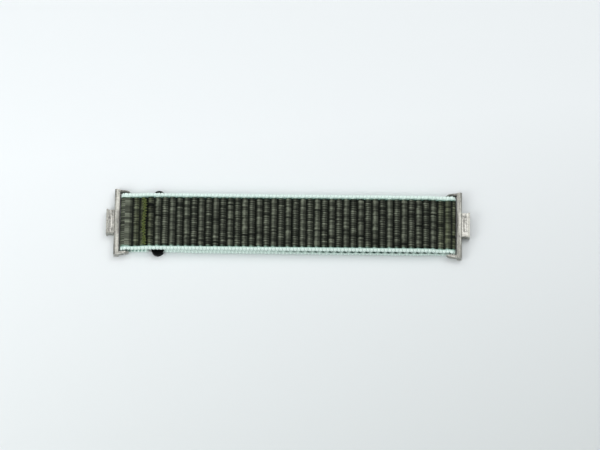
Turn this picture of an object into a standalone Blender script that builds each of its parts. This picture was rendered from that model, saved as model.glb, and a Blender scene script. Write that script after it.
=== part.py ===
"""Woven nylon loop strap for a watch, with a swivelling metal connector at each end.

Metres, +Z up. X runs along the strap, Y across it, and the strap lies on the plane Z = 0 with its skin
side up. The origin is on that plane, under the middle of the strap.

The webbing is one long strip. Its fixed end is folded round the left pin and sewn down. The upper layer
runs to the right pin, folds round it and comes back beneath as the tail, which ends in a moulded stop.
The strip is cut at the grooves between its ribs into short stiff sections, which turn on one another
about lines in the upper layer's middle plane, so that the strap can wrap round a wrist.
"""

import math

import bmesh
import bpy
from mathutils import Matrix, Vector

# Webbing
BAND_WIDTH = 0.022
BAND_THICKNESS = 0.00205
SELVEDGE_WIDTH = 0.0016
RIB_PITCH = 0.002625
GROOVE_DEPTH = 0.00042
LAYER_GAP = 0.0003
FOLD_THICKNESS = 0.0011
EASE_LENGTH = 0.0084
GAP_EASE_LENGTH = 0.005
EDGE_THICKNESS_SHARE = 0.9
EASE_STEPS = 6
FOLD_STEPS = 10
SECTION_RIBS = (5, 10, 5, 5, 5, 5, 5, 5)
RIB_SHARES = ((0.0, 1.0), (0.13, 0.4), (0.3, 0.1), (0.5, 0.0), (0.7, 0.1), (0.87, 0.4))

# Cuts between the sections
SECTION_GAP = 0.0003
NOSE_LENGTH = 0.0006
NOSE_STEPS = 6

# Fixed end, its seam, and the tail's free end
UNDERLAP_LENGTH = 0.009
SEAM_RIB = 2
SEAM_DIP = 0.0006
SEAM_SIDE_MARGIN = 0.0002
SEAM_SWING = 0.00085
SEAM_THREAD_RADIUS = 0.0002
SEAM_CLEARANCE = 0.0001
SEAM_ZIGZAGS = 7
SEAM_STEPS = 10
PEEL_RIBS = 2
HOOK_PATCH_THICKNESS = 0.0006
HOOK_PATCH_SIDE_MARGIN = 0.0006
HOOK_PATCH_FROM_STOP = 0.0018
HOOK_PATCH_FROM_PEEL = 0.0024
HOOK_PATCH_EDGE_GAP = 0.0003
HOOK_RECESS_SLOPE = 0.0002

# End stop on the tail
STOP_LENGTH = 0.0046
STOP_OVERHANG = 0.00135
STOP_FROM_UNDERLAP = 0.0008
STOP_EDGE_RADIUS = 0.0003
STOP_POCKET_DEPTH = 0.003
STOP_POCKET_CLEARANCE = 0.0003
TAIL_END_THICKNESS = 0.00065
TAIL_END_GAP = 0.0003
STOP_ARC_STEPS = 12
STOP_BEVEL_STEPS = 2

# Pin: a screw through a sleeve
SLEEVE_RADIUS = 0.00055
SLEEVE_CLEARANCE = 0.00015
SLEEVE_BORE_RADIUS = 0.00037
SLEEVE_END_GAP = 0.0003
SCREW_RADIUS = 0.00025
SCREW_HOLE_CLEARANCE = 0.00012
SCREW_HEAD_RADIUS = 0.0007
SCREW_HEAD_HEIGHT = 0.00035
SCREW_HEAD_INSET = 0.00006
SCREW_SEAT_GAP = 0.00005
SCREW_END_DEPTH = 0.0004
SCREW_SLOT_WIDTH = 0.0003
SCREW_SLOT_DEPTH = 0.00015
TURNED_STEPS = 16

# Connector frame, measured outwards (u), along the pin (v) and upwards (w) from the pin's middle
BAR_GAP = 0.0003
BAR_DEPTH = 0.0018
BAR_HEIGHT = 0.0036
BAR_CROWN_DROP = 0.0004
BAR_SHOULDER_DROP = 0.0006
BAR_STATIONS = 9
EAR_SIDE_GAP = 0.00035
EAR_TIP_THICKNESS = 0.0007
EAR_ROOT_THICKNESS = 0.0009
EAR_SPLAY = 0.00025
EAR_REACH = 0.0019
EAR_HEIGHT = 0.0026
EAR_TIP_STEPS = 8
TONGUE_LENGTH = 0.0029
TONGUE_WIDTH = 0.009
TONGUE_HEIGHT = 0.0026
LIP_THICKNESS = 0.0006
LIP_WIDTH = 0.0094
LIP_HEIGHT = 0.003
CONNECTOR_EDGE_RADIUS = 0.00015
RIDGE_SHARE = 0.4

# Cover plate, catch and its spring in the tongue
COVER_THICKNESS = 0.0003
COVER_END_GAP = 0.00015
COVER_WIDTH = 0.0084
CATCH_LENGTH = 0.0056
CATCH_WIDTH = 0.0012
CATCH_PROUD = 0.00045
CATCH_FLANGE_THICKNESS = 0.00035
CATCH_FLANGE_LIP = 0.0002
CATCH_CLEARANCE = 0.00015
CATCH_DOME_STEPS = 3
CATCH_ARC_STEPS = 8
POCKET_FLOOR_THICKNESS = 0.0004
SPRING_COIL_RADIUS = 0.00045
SPRING_WIRE_RADIUS = 0.0001
SPRING_END_GAP = 0.0001
SPRING_TURNS = 3
SPRING_STEPS = 10

CUT_OVERRUN = 0.001
SLOPE_REACH = 0.0001
MERGE_DISTANCE = 0.000001

# Places that follow from the sizes
FOLD_INNER_RADIUS = SLEEVE_RADIUS + SLEEVE_CLEARANCE
FOLD_MID_RADIUS = FOLD_INNER_RADIUS + FOLD_THICKNESS / 2
FOLD_OUTER_RADIUS = FOLD_INNER_RADIUS + FOLD_THICKNESS
FOLD_LENGTH = math.pi * FOLD_MID_RADIUS
FOLD_RIBS = max(2, round(FOLD_LENGTH / RIB_PITCH))
UPPER_LENGTH = sum(SECTION_RIBS) * RIB_PITCH
PIN_X = UPPER_LENGTH / 2
PIN_Z = FOLD_OUTER_RADIUS
TAIL_MID_Z = BAND_THICKNESS / 2
STOP_SPAN = BAND_WIDTH + 2 * STOP_OVERHANG
STOP_X = -PIN_X + UNDERLAP_LENGTH + STOP_FROM_UNDERLAP + STOP_LENGTH / 2
STOP_FACE_X = STOP_X + STOP_LENGTH / 2

# Stretches of the strip, by length from the fixed end
LEFT_FOLD_START = UNDERLAP_LENGTH
UPPER_START = LEFT_FOLD_START + FOLD_LENGTH
RIGHT_FOLD_START = UPPER_START + UPPER_LENGTH
TAIL_START = RIGHT_FOLD_START + FOLD_LENGTH
TAIL_END = TAIL_START + PIN_X - STOP_FACE_X - TAIL_END_GAP

FIELD_WIDTH = BAND_WIDTH - 2 * SELVEDGE_WIDTH
SEAM_WIDTH = FIELD_WIDTH - 2 * SEAM_SIDE_MARGIN
HOOK_PATCH_WIDTH = FIELD_WIDTH - 2 * HOOK_PATCH_SIDE_MARGIN

# Places on a connector, measured from its pin
BAR_LENGTH = BAND_WIDTH + 2 * (EAR_SIDE_GAP + EAR_ROOT_THICKNESS + EAR_SPLAY)
BAR_INNER = FOLD_OUTER_RADIUS + BAR_GAP
BAR_OUTER = BAR_INNER + BAR_DEPTH
BAR_MIDDLE = BAR_INNER + BAR_DEPTH / 2
TONGUE_END = BAR_OUTER + TONGUE_LENGTH
LIP_START = TONGUE_END - LIP_THICKNESS
POCKET_MIDDLE = (BAR_OUTER + LIP_START) / 2
TONGUE_TOP = TONGUE_HEIGHT / 2
POCKET_FLOOR = -TONGUE_TOP + POCKET_FLOOR_THICKNESS
FLANGE_TOP = TONGUE_TOP - CATCH_CLEARANCE
FLANGE_BOTTOM = FLANGE_TOP - CATCH_FLANGE_THICKNESS
CATCH_TOP = TONGUE_TOP + COVER_THICKNESS + CATCH_PROUD


def make_material(name, colour, roughness, metallic=0.0):
    material = bpy.data.materials.new(name)
    material.use_nodes = True
    shader = material.node_tree.nodes["Principled BSDF"]
    shader.inputs["Base Color"].default_value = (*colour, 1.0)
    shader.inputs["Roughness"].default_value = roughness
    shader.inputs["Metallic"].default_value = metallic
    material.diffuse_color = (*colour, 1.0)
    return material


class Parts:
    """Holds the collections and the colours, and links what is made to them."""

    def __init__(self):
        self.pieces = self.collection("nylon_watch_strap")
        self.cutters = self.collection("cutters")

    def collection(self, name):
        made = bpy.data.collections.new(name)
        bpy.context.scene.collection.children.link(made)
        return made

    def add(self, name, mesh, colour, parent=None):
        piece = bpy.data.objects.new(name, mesh)
        roughness, metallic = FINISHES[colour]
        piece.data.materials.append(make_material(name, COLOURS[colour], roughness, metallic))
        self.pieces.objects.link(piece)
        piece.parent = parent
        return piece

    def add_cutter(self, name, mesh, parent=None):
        cutter = bpy.data.objects.new(name, mesh)
        cutter.hide_render = True
        cutter.display_type = "WIRE"
        self.cutters.objects.link(cutter)
        cutter.parent = parent
        return cutter


COLOURS = {
    "webbing": (0.075, 0.09, 0.07),
    "selvedge": (0.68, 0.84, 0.76),
    "thread": (0.1, 0.14, 0.03),
    "hook": (0.05, 0.06, 0.045),
    "stop": (0.006, 0.007, 0.008),
    "metal": (0.62, 0.6, 0.56),
    "spring": (0.45, 0.45, 0.46),
}
FINISHES = {
    "webbing": (0.9, 0.0),
    "selvedge": (0.9, 0.0),
    "thread": (0.8, 0.0),
    "hook": (0.7, 0.0),
    "stop": (0.35, 0.0),
    "metal": (0.28, 1.0),
    "spring": (0.3, 1.0),
}


def finished_mesh(name, bm):
    """Turns a bmesh into a mesh with its faces pointing out."""
    bmesh.ops.recalc_face_normals(bm, faces=bm.faces)
    mesh = bpy.data.meshes.new(name)
    bm.to_mesh(mesh)
    bm.free()
    return mesh


def loft(name, stations):
    """Joins equal rings of points, one after another, into one closed solid."""
    bm = bmesh.new()
    rings = [[bm.verts.new(point) for point in station] for station in stations]
    count = len(rings[0])
    for ring, following in zip(rings, rings[1:]):
        for i in range(count):
            j = (i + 1) % count
            bm.faces.new((ring[i], ring[j], following[j], following[i]))
    bm.faces.new(rings[0])
    bm.faces.new(rings[-1])
    return finished_mesh(name, bm)


def box(name, low, high):
    low, high = Vector(low), Vector(high)
    bm = bmesh.new()
    place = Matrix.Translation((low + high) / 2) @ Matrix.Diagonal((high - low).to_4d())
    bmesh.ops.create_cube(bm, size=1.0, matrix=place)
    return finished_mesh(name, bm)


def turned(name, profile, closed):
    """Turns a profile of (radius, v) points about the Y axis."""
    bm = bmesh.new()
    points = [bm.verts.new((radius, v, 0)) for radius, v in profile]
    edges = [bm.edges.new(pair) for pair in zip(points, points[1:])]
    if closed:
        edges.append(bm.edges.new((points[-1], points[0])))
    bmesh.ops.spin(
        bm,
        geom=points + edges,
        cent=(0, 0, 0),
        axis=(0, 1, 0),
        angle=math.tau,
        steps=TURNED_STEPS,
        use_merge=True,
    )
    bmesh.ops.remove_doubles(bm, verts=bm.verts, dist=MERGE_DISTANCE)
    return finished_mesh(name, bm)


def curve_mesh(name, curve):
    """Makes a filled or tubular curve into a mesh with closed caps."""
    holder = bpy.data.objects.new(name, curve)
    bpy.context.scene.collection.objects.link(holder)
    depsgraph = bpy.context.evaluated_depsgraph_get()
    mesh = bpy.data.meshes.new_from_object(holder.evaluated_get(depsgraph))
    bpy.data.objects.remove(holder)
    mesh.materials.clear()
    mesh.name = name
    bm = bmesh.new()
    bm.from_mesh(mesh)
    bmesh.ops.remove_doubles(bm, verts=bm.verts, dist=MERGE_DISTANCE)
    bmesh.ops.recalc_face_normals(bm, faces=bm.faces)
    bm.to_mesh(mesh)
    bm.free()
    return mesh


def thread_curve(name, points, radius):
    """A round thread or wire through the points."""
    curve = bpy.data.curves.new(name, "CURVE")
    curve.dimensions = "3D"
    curve.bevel_depth = radius
    curve.bevel_resolution = 1
    curve.use_fill_caps = True
    spline = curve.splines.new("POLY")
    spline.points.add(len(points) - 1)
    for place, point in zip(spline.points, points):
        place.co = (*point, 1)
    return curve


def flat_curve(name, outlines, thickness):
    """A flat plate in the XY plane: the first outline is its edge and the others are holes."""
    curve = bpy.data.curves.new(name, "CURVE")
    curve.dimensions = "2D"
    curve.fill_mode = "BOTH"
    curve.extrude = thickness / 2
    for outline in outlines:
        spline = curve.splines.new("POLY")
        spline.points.add(len(outline) - 1)
        for place, (x, y) in zip(spline.points, outline):
            place.co = (x, y, 0, 1)
        spline.use_cyclic_u = True
    return curve


def shift(mesh, offset):
    mesh.transform(Matrix.Translation(offset))
    return mesh


def combine(piece, other, operation):
    change = piece.modifiers.new(other.name, "BOOLEAN")
    change.operation = operation
    change.object = other
    change.solver = "EXACT"


def round_edges(piece, radius, segments):
    change = piece.modifiers.new("rounded_edges", "BEVEL")
    change.width = radius
    change.segments = segments
    change.limit_method = "ANGLE"


def stadium(length, width, steps):
    """Outline with two straight sides along Y and round ends."""
    radius = width / 2
    reach = length / 2 - radius
    points = []
    for end in (1, -1):
        for i in range(steps + 1):
            angle = math.pi * i / steps
            points.append((end * radius * math.cos(angle), end * (reach + radius * math.sin(angle))))
    return points


def smooth_share(share):
    share = min(1.0, max(0.0, share))
    return share * share * (3 - 2 * share)


def cloth_thickness(x):
    """Thickness of the webbing, which is pressed thinner towards each fold."""
    return FOLD_THICKNESS + (BAND_THICKNESS - FOLD_THICKNESS) * smooth_share((PIN_X - abs(x)) / EASE_LENGTH)


def upper_height(x):
    """Middle of the upper layer, which lies on the tail and parts from it to go round each pin."""
    parting = 1 - smooth_share((PIN_X - abs(x)) / GAP_EASE_LENGTH)
    gap = LAYER_GAP + (2 * FOLD_INNER_RADIUS - LAYER_GAP) * parting
    return cloth_thickness(x) * 3 / 2 + gap


def strip_place(s, offset):
    """Point at length s of the strip, offset towards its ribbed side, as (x, z).

    The offset is that of the full thickness, and shrinks with it where the strip is pressed thin.
    """
    if s < LEFT_FOLD_START or s >= TAIL_START:
        x = -PIN_X + LEFT_FOLD_START - s if s < LEFT_FOLD_START else PIN_X + TAIL_START - s
        thickness = cloth_thickness(x)
        return (x, thickness / 2 - offset * thickness / BAND_THICKNESS)
    if UPPER_START <= s <= RIGHT_FOLD_START:
        x = -PIN_X + s - UPPER_START
        slope = math.atan2(upper_height(x + SLOPE_REACH) - upper_height(x - SLOPE_REACH), 2 * SLOPE_REACH)
        offset *= cloth_thickness(x) / BAND_THICKNESS
        return (x - offset * math.sin(slope), upper_height(x) + offset * math.cos(slope))
    radius = FOLD_MID_RADIUS + offset * FOLD_THICKNESS / BAND_THICKNESS
    if s < UPPER_START:
        angle = -math.pi / 2 - math.pi * (s - LEFT_FOLD_START) / FOLD_LENGTH
        return (-PIN_X + radius * math.cos(angle), PIN_Z + radius * math.sin(angle))
    angle = math.pi / 2 - math.pi * (s - RIGHT_FOLD_START) / FOLD_LENGTH
    return (PIN_X + radius * math.cos(angle), PIN_Z + radius * math.sin(angle))


def rib_starts():
    """Lengths at which a groove crosses the strip."""
    underlap = [LEFT_FOLD_START - k * RIB_PITCH for k in range(1, int(UNDERLAP_LENGTH / RIB_PITCH) + 1)]
    starts = underlap[::-1]
    starts += [LEFT_FOLD_START + k * FOLD_LENGTH / FOLD_RIBS for k in range(FOLD_RIBS)]
    starts += [UPPER_START + k * RIB_PITCH for k in range(sum(SECTION_RIBS))]
    starts += [RIGHT_FOLD_START + k * FOLD_LENGTH / FOLD_RIBS for k in range(FOLD_RIBS)]
    tail_ribs = int((TAIL_END - TAIL_START) / RIB_PITCH) + 1
    starts += [TAIL_START + k * RIB_PITCH for k in range(tail_ribs)]
    return starts


def groove_points():
    """Every (length, depth) of the ribbed face, with a plain dip for the rib that is sewn down."""
    starts = rib_starts()
    sewn_start = UPPER_START + SEAM_RIB * RIB_PITCH
    points = []
    for start, end in zip(starts, starts[1:] + [starts[-1] + RIB_PITCH]):
        sewn = abs(start - sewn_start) < RIB_PITCH / 2
        for along, depth in RIB_SHARES:
            groove = SEAM_DIP if sewn and along else GROOVE_DEPTH * depth
            points.append((start + along * (end - start), groove))
    return points


def bend_stops():
    """Lengths at which the strip's plain face bends."""
    stops = []
    for start in (LEFT_FOLD_START, RIGHT_FOLD_START):
        stops += [start + FOLD_LENGTH * i / FOLD_STEPS for i in range(FOLD_STEPS + 1)]
    for i in range(1, EASE_STEPS + 1):
        along = EASE_LENGTH * i / EASE_STEPS
        stops += [LEFT_FOLD_START - along, UPPER_START + along, RIGHT_FOLD_START - along, TAIL_START + along]
    return sorted(stops)


def nose(s, direction):
    """Rounded end of a piece at length s, from its ribbed face to its plain face."""
    half = BAND_THICKNESS / 2
    points = []
    for i in range(NOSE_STEPS + 1):
        angle = math.pi * i / NOSE_STEPS
        reach = NOSE_LENGTH * (1 - math.sin(angle))
        points.append((s - direction * reach, half * math.cos(angle), 0.0))
    return points


def strip_piece(name, start, end, plain_face=(), end_points=None):
    """Closed solid of the strip from one length to another.

    plain_face gives further (length, depth) points of the plain face, and end_points takes the place of
    the rounded far end.
    """
    half = BAND_THICKNESS / 2
    low, high = start + NOSE_LENGTH, end - (0 if end_points else NOSE_LENGTH)
    margin = NOSE_LENGTH / 4
    outer = [(s, half, depth) for s, depth in groove_points() if low + margin < s < high - margin]
    inner = [(s, -half, 0.0) for s in bend_stops() if low + margin < s < high - margin]
    inner = sorted(inner + [(s, -half, -depth) for s, depth in plain_face], reverse=True)
    ring = outer + (end_points or nose(end, 1)) + inner + nose(start, -1)[::-1]
    edge = BAND_WIDTH / 2
    field = FIELD_WIDTH / 2
    stations = []
    for y, ribbed in ((-edge, False), (-field, True), (field, True), (edge, False)):
        station = []
        for s, offset, depth in ring:
            x, z = strip_place(s, offset - depth if ribbed else offset * EDGE_THICKNESS_SHARE)
            station.append((x, y, z))
        stations.append(station)
    mesh = loft(name, stations)
    mesh.materials.clear()
    return mesh


def paint_selvedge(piece):
    """Gives the pale edge strips their own material."""
    roughness, metallic = FINISHES["selvedge"]
    edge_material = make_material(piece.name + "_edge", COLOURS["selvedge"], roughness, metallic)
    piece.data.materials.append(edge_material)
    for face in piece.data.polygons:
        if abs(face.center.y) > FIELD_WIDTH / 2:
            face.material_index = 1


def section_bounds():
    """Start and end lengths of the upper layer's sections."""
    bounds = []
    place = UPPER_START
    for ribs in SECTION_RIBS:
        bounds.append((place, place + ribs * RIB_PITCH))
        place += ribs * RIB_PITCH
    return bounds


def make_webbing(parts):
    """The upper layer and the tail, cut at the section lines."""
    bounds = section_bounds()
    half_gap = SECTION_GAP / 2
    last = len(bounds)
    below = {upper: TAIL_START + RIGHT_FOLD_START - upper for pair in bounds for upper in pair}
    for number, (start, end) in enumerate(bounds, 1):
        low = 0.0 if number == 1 else start + half_gap
        high = below[start] - half_gap if number == last else end - half_gap
        name = f"band_{number}"
        paint_selvedge(parts.add(name, strip_piece(name, low, high), "webbing"))
    for number, (start, end) in enumerate(bounds[2:-1], 3):
        name = f"tail_{number}"
        mesh = strip_piece(name, below[end] + half_gap, below[start] - half_gap)
        paint_selvedge(parts.add(name, mesh, "webbing"))
    peel = below[bounds[1][1]] + PEEL_RIBS * RIB_PITCH
    stub = strip_piece("tail_2", below[bounds[1][1]] + half_gap, peel - half_gap)
    paint_selvedge(parts.add("tail_2", stub, "webbing"))
    make_flap(parts, peel + half_gap)


def make_flap(parts, start):
    """Free end of the tail, with the recess for the hook patch and the pressed end for the stop."""
    half = BAND_THICKNESS / 2
    pressed = TAIL_END_THICKNESS / 2
    tip = TAIL_END + TAIL_END_GAP + STOP_POCKET_DEPTH - STOP_POCKET_CLEARANCE
    end_points = [(TAIL_END, half, 0.0), (TAIL_END, pressed, 0.0), (tip, pressed, 0.0)]
    end_points += [(tip, -pressed, 0.0), (TAIL_END, -pressed, 0.0), (TAIL_END, -half, 0.0)]
    recess_end = TAIL_END - HOOK_PATCH_FROM_STOP
    recess_start = start + HOOK_PATCH_FROM_PEEL
    patch_length = recess_end - recess_start - 2 * HOOK_PATCH_EDGE_GAP
    recess = [
        (recess_start - HOOK_RECESS_SLOPE, 0.0),
        (recess_start, HOOK_PATCH_THICKNESS),
        (recess_end, HOOK_PATCH_THICKNESS),
        (recess_end + HOOK_RECESS_SLOPE, 0.0),
    ]
    flap = strip_piece("tail_flap", start, TAIL_END, recess, end_points)
    paint_selvedge(parts.add("tail_flap", flap, "webbing"))
    low_x, floor_z = strip_place(recess_end - HOOK_PATCH_EDGE_GAP, HOOK_PATCH_THICKNESS - half)
    low = (low_x, -HOOK_PATCH_WIDTH / 2, floor_z)
    high = (low_x + patch_length, HOOK_PATCH_WIDTH / 2, floor_z + HOOK_PATCH_THICKNESS)
    parts.add("hook_patch", box("hook_patch", low, high), "hook")


def make_seam(parts):
    """Zigzag thread that sews the folded end down."""
    middle = UPPER_START + (SEAM_RIB + 1 / 2) * RIB_PITCH
    height = BAND_THICKNESS / 2 - SEAM_DIP + SEAM_CLEARANCE + SEAM_THREAD_RADIUS
    count = SEAM_ZIGZAGS * SEAM_STEPS
    points = []
    for i in range(count + 1):
        swing = SEAM_SWING * math.sin(math.tau * i / SEAM_STEPS)
        x, z = strip_place(middle + swing, height)
        points.append((x, SEAM_WIDTH * (i / count - 1 / 2), z))
    curve = thread_curve("end_seam", points, SEAM_THREAD_RADIUS)
    parts.add("end_seam", curve_mesh("end_seam", curve), "thread")


def make_end_stop(parts):
    """Moulded bar on the tail's end, wider than the strap, so that the tail can't slip out."""
    outline = stadium(STOP_SPAN, STOP_LENGTH, STOP_ARC_STEPS)
    mesh = curve_mesh("end_stop", flat_curve("end_stop", [outline], BAND_THICKNESS))
    stop = parts.add("end_stop", shift(mesh, (STOP_X, 0, TAIL_MID_Z)), "stop")
    round_edges(stop, STOP_EDGE_RADIUS, STOP_BEVEL_STEPS)
    half_height = TAIL_END_THICKNESS / 2 + STOP_POCKET_CLEARANCE
    half_width = BAND_WIDTH / 2 + STOP_POCKET_CLEARANCE
    low = (STOP_FACE_X - STOP_POCKET_DEPTH, -half_width, TAIL_MID_Z - half_height)
    high = (STOP_FACE_X + CUT_OVERRUN, half_width, TAIL_MID_Z + half_height)
    combine(stop, parts.add_cutter("stop_pocket", box("stop_pocket", low, high)), "DIFFERENCE")



def droop_angle():
    """Turn about the pin at which a connector's lowest edge meets the table."""
    edges = ((BAR_OUTER, BAR_HEIGHT / 2), (TONGUE_END, LIP_HEIGHT / 2))
    return min(math.asin(min(1.0, PIN_Z / math.hypot(u, w))) - math.atan2(w, u) for u, w in edges)


def ear_faces(u):
    """Distances of an ear's inner and outer face from the middle, at u."""
    share = (u + EAR_REACH) / (BAR_OUTER + EAR_REACH)
    tip_inner = BAND_WIDTH / 2 + EAR_SIDE_GAP
    root_inner = BAR_LENGTH / 2 - EAR_ROOT_THICKNESS
    tip_outer = tip_inner + EAR_TIP_THICKNESS
    inner = tip_inner + (root_inner - tip_inner) * share
    outer = tip_outer + (BAR_LENGTH / 2 - tip_outer) * share
    return inner, outer


def ear_mesh(name, side):
    """Slanted plate with a round tip, from the bar's middle to past the pin."""
    half = EAR_HEIGHT / 2
    outline = [(BAR_MIDDLE, -half), (BAR_MIDDLE, half)]
    for i in range(EAR_TIP_STEPS + 1):
        angle = math.pi * i / EAR_TIP_STEPS
        outline.append((-EAR_REACH * math.sin(angle), half * math.cos(angle)))
    inner = [(u, side * ear_faces(u)[0], w) for u, w in outline]
    outer = [(u, side * ear_faces(u)[1], w) for u, w in outline]
    return loft(name, [inner, outer])


def bar_mesh(name):
    """Crossbar whose ridged top is highest in the middle."""
    half = BAR_HEIGHT / 2
    ridge = BAR_INNER + BAR_DEPTH * (1 - RIDGE_SHARE)
    stations = []
    for i in range(BAR_STATIONS):
        along = 2 * i / (BAR_STATIONS - 1) - 1
        top = half - BAR_CROWN_DROP * along * along
        shoulder = top - BAR_SHOULDER_DROP
        section = [(BAR_INNER, -half), (BAR_OUTER, -half), (BAR_OUTER, shoulder), (ridge, top)]
        section.append((BAR_INNER, shoulder))
        stations.append([(u, along * BAR_LENGTH / 2, w) for u, w in section])
    return loft(name, stations)


def make_frame(parts, side_name, pivot):
    """Bar, two ears and the tongue that slides into the watch case, as one metal piece."""
    name = f"{side_name}_frame"
    frame = parts.add(name, bar_mesh(name), "metal", pivot)
    half_width, half_height = TONGUE_WIDTH / 2, TONGUE_HEIGHT / 2
    tongue_end = LIP_START + LIP_THICKNESS / 2
    tongue = box("tongue", (BAR_MIDDLE, -half_width, -half_height), (tongue_end, half_width, half_height))
    lip_low = (LIP_START, -LIP_WIDTH / 2, -LIP_HEIGHT / 2)
    lip = box("lip", lip_low, (TONGUE_END, LIP_WIDTH / 2, LIP_HEIGHT / 2))
    for part_name, mesh in (("far_ear", ear_mesh("far_ear", 1)), ("near_ear", ear_mesh("near_ear", -1)),
                            ("tongue", tongue), ("lip", lip)):
        combine(frame, parts.add_cutter(f"{name}_{part_name}", mesh, pivot), "UNION")
    round_edges(frame, CONNECTOR_EDGE_RADIUS, 1)
    for cutter_name, mesh in frame_cuts():
        combine(frame, parts.add_cutter(f"{name}_{cutter_name}", mesh, pivot), "DIFFERENCE")
    return frame


def frame_cuts():
    """The catch pocket, the screw's hole and seat in one ear, and its end hole in the other."""
    wide = CATCH_FLANGE_LIP + CATCH_CLEARANCE
    half_u = CATCH_WIDTH / 2 + wide
    half_v = CATCH_LENGTH / 2 + wide
    pocket_low = (POCKET_MIDDLE - half_u, -half_v, POCKET_FLOOR)
    pocket_high = (POCKET_MIDDLE + half_u, half_v, TONGUE_TOP + CUT_OVERRUN)
    seat, head_top = screw_seat()
    hole = SCREW_RADIUS + SCREW_HOLE_CLEARANCE
    seat_radius = SCREW_HEAD_RADIUS + SCREW_HOLE_CLEARANCE
    hole_profile = [(0, 0), (hole, 0), (hole, seat), (seat_radius, seat)]
    hole_profile += [(seat_radius, head_top + CUT_OVERRUN), (0, head_top + CUT_OVERRUN)]
    end_profile = [(0, 0), (hole, 0), (hole, -screw_end() - SCREW_HOLE_CLEARANCE)]
    end_profile.append((0, -screw_end() - SCREW_HOLE_CLEARANCE))
    return (
        ("pocket", box("pocket", pocket_low, pocket_high)),
        ("screw_hole", turned("screw_hole", hole_profile, False)),
        ("end_hole", turned("end_hole", end_profile, False)),
    )


def screw_seat():
    """Distances from the middle of the head's seat and of the head's top."""
    head_top = ear_faces(0)[1] - SCREW_HEAD_INSET
    return head_top - SCREW_HEAD_HEIGHT - SCREW_SEAT_GAP, head_top


def screw_end():
    return ear_faces(0)[0] + SCREW_END_DEPTH


def make_pin(parts, side_name, pivot):
    """The sleeve that the webbing turns on, and the slotted screw through it."""
    half = ear_faces(0)[0] - SLEEVE_END_GAP
    sleeve_profile = [(SLEEVE_BORE_RADIUS, -half), (SLEEVE_RADIUS, -half)]
    sleeve_profile += [(SLEEVE_RADIUS, half), (SLEEVE_BORE_RADIUS, half)]
    name = f"{side_name}_pin_sleeve"
    parts.add(name, turned(name, sleeve_profile, True), "metal", pivot)
    head_top = screw_seat()[1]
    head_low = head_top - SCREW_HEAD_HEIGHT
    screw_profile = [(0, -screw_end()), (SCREW_RADIUS, -screw_end()), (SCREW_RADIUS, head_low)]
    screw_profile += [(SCREW_HEAD_RADIUS, head_low), (SCREW_HEAD_RADIUS, head_top), (0, head_top)]
    name = f"{side_name}_pin_screw"
    screw = parts.add(name, turned(name, screw_profile, False), "metal", pivot)
    reach = SCREW_HEAD_RADIUS + CUT_OVERRUN
    low = (-reach, head_top - SCREW_SLOT_DEPTH, -SCREW_SLOT_WIDTH / 2)
    high = (reach, head_top + CUT_OVERRUN, SCREW_SLOT_WIDTH / 2)
    slot = parts.add_cutter(f"{name}_slot", box("screw_slot", low, high), pivot)
    combine(screw, slot, "DIFFERENCE")


def make_cover(parts, side_name, pivot):
    """Plate over the catch pocket, with the window that the catch stands in."""
    low_u, high_u = BAR_OUTER + COVER_END_GAP, LIP_START - COVER_END_GAP
    half_v = COVER_WIDTH / 2
    edge = [(low_u, -half_v), (high_u, -half_v), (high_u, half_v), (low_u, half_v)]
    clearance = 2 * CATCH_CLEARANCE
    window = stadium(CATCH_LENGTH + clearance, CATCH_WIDTH + clearance, CATCH_ARC_STEPS)
    window = [(POCKET_MIDDLE + u, v) for u, v in window]
    name = f"{side_name}_cover_plate"
    mesh = curve_mesh(name, flat_curve(name, [edge, window], COVER_THICKNESS))
    parts.add(name, shift(mesh, (0, 0, TONGUE_TOP + COVER_THICKNESS / 2)), "metal", pivot)


def make_catch(parts, side_name, pivot):
    """Domed button on a flange, pressed to free the connector from the case."""
    lip = 2 * CATCH_FLANGE_LIP
    levels = [(FLANGE_BOTTOM, CATCH_LENGTH + lip, CATCH_WIDTH + lip)]
    levels.append((FLANGE_TOP, CATCH_LENGTH + lip, CATCH_WIDTH + lip))
    levels.append((FLANGE_TOP, CATCH_LENGTH, CATCH_WIDTH))
    shoulder = TONGUE_TOP + COVER_THICKNESS
    for i in range(CATCH_DOME_STEPS + 1):
        angle = math.pi / 2 * i / (CATCH_DOME_STEPS + 1)
        inset = CATCH_WIDTH * (1 - math.cos(angle))
        levels.append((shoulder + CATCH_PROUD * math.sin(angle), CATCH_LENGTH - inset, CATCH_WIDTH - inset))
    top_inset = CATCH_WIDTH * (1 - math.cos(math.pi / 2 * CATCH_DOME_STEPS / (CATCH_DOME_STEPS + 1)))
    narrow = (CATCH_WIDTH - top_inset) / 2
    levels.append((CATCH_TOP, CATCH_LENGTH - CATCH_WIDTH + narrow, narrow))
    stations = []
    for w, length, width in levels:
        outline = stadium(length, width, CATCH_ARC_STEPS)
        stations.append([(u + POCKET_MIDDLE, v, w) for u, v in outline])
    name = f"{side_name}_catch"
    parts.add(name, loft(name, stations), "metal", pivot)


def make_spring(parts, side_name, pivot):
    """Coil between the pocket's floor and the catch."""
    bottom = POCKET_FLOOR + SPRING_WIRE_RADIUS + SPRING_END_GAP
    top = FLANGE_BOTTOM - SPRING_WIRE_RADIUS - SPRING_END_GAP
    count = SPRING_TURNS * SPRING_STEPS
    points = []
    for i in range(count + 1):
        angle = math.tau * i / SPRING_STEPS
        u = POCKET_MIDDLE + SPRING_COIL_RADIUS * math.cos(angle)
        points.append((u, SPRING_COIL_RADIUS * math.sin(angle), bottom + (top - bottom) * i / count))
    name = f"{side_name}_catch_spring"
    parts.add(name, curve_mesh(name, thread_curve(name, points, SPRING_WIRE_RADIUS)), "spring", pivot)


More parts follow.
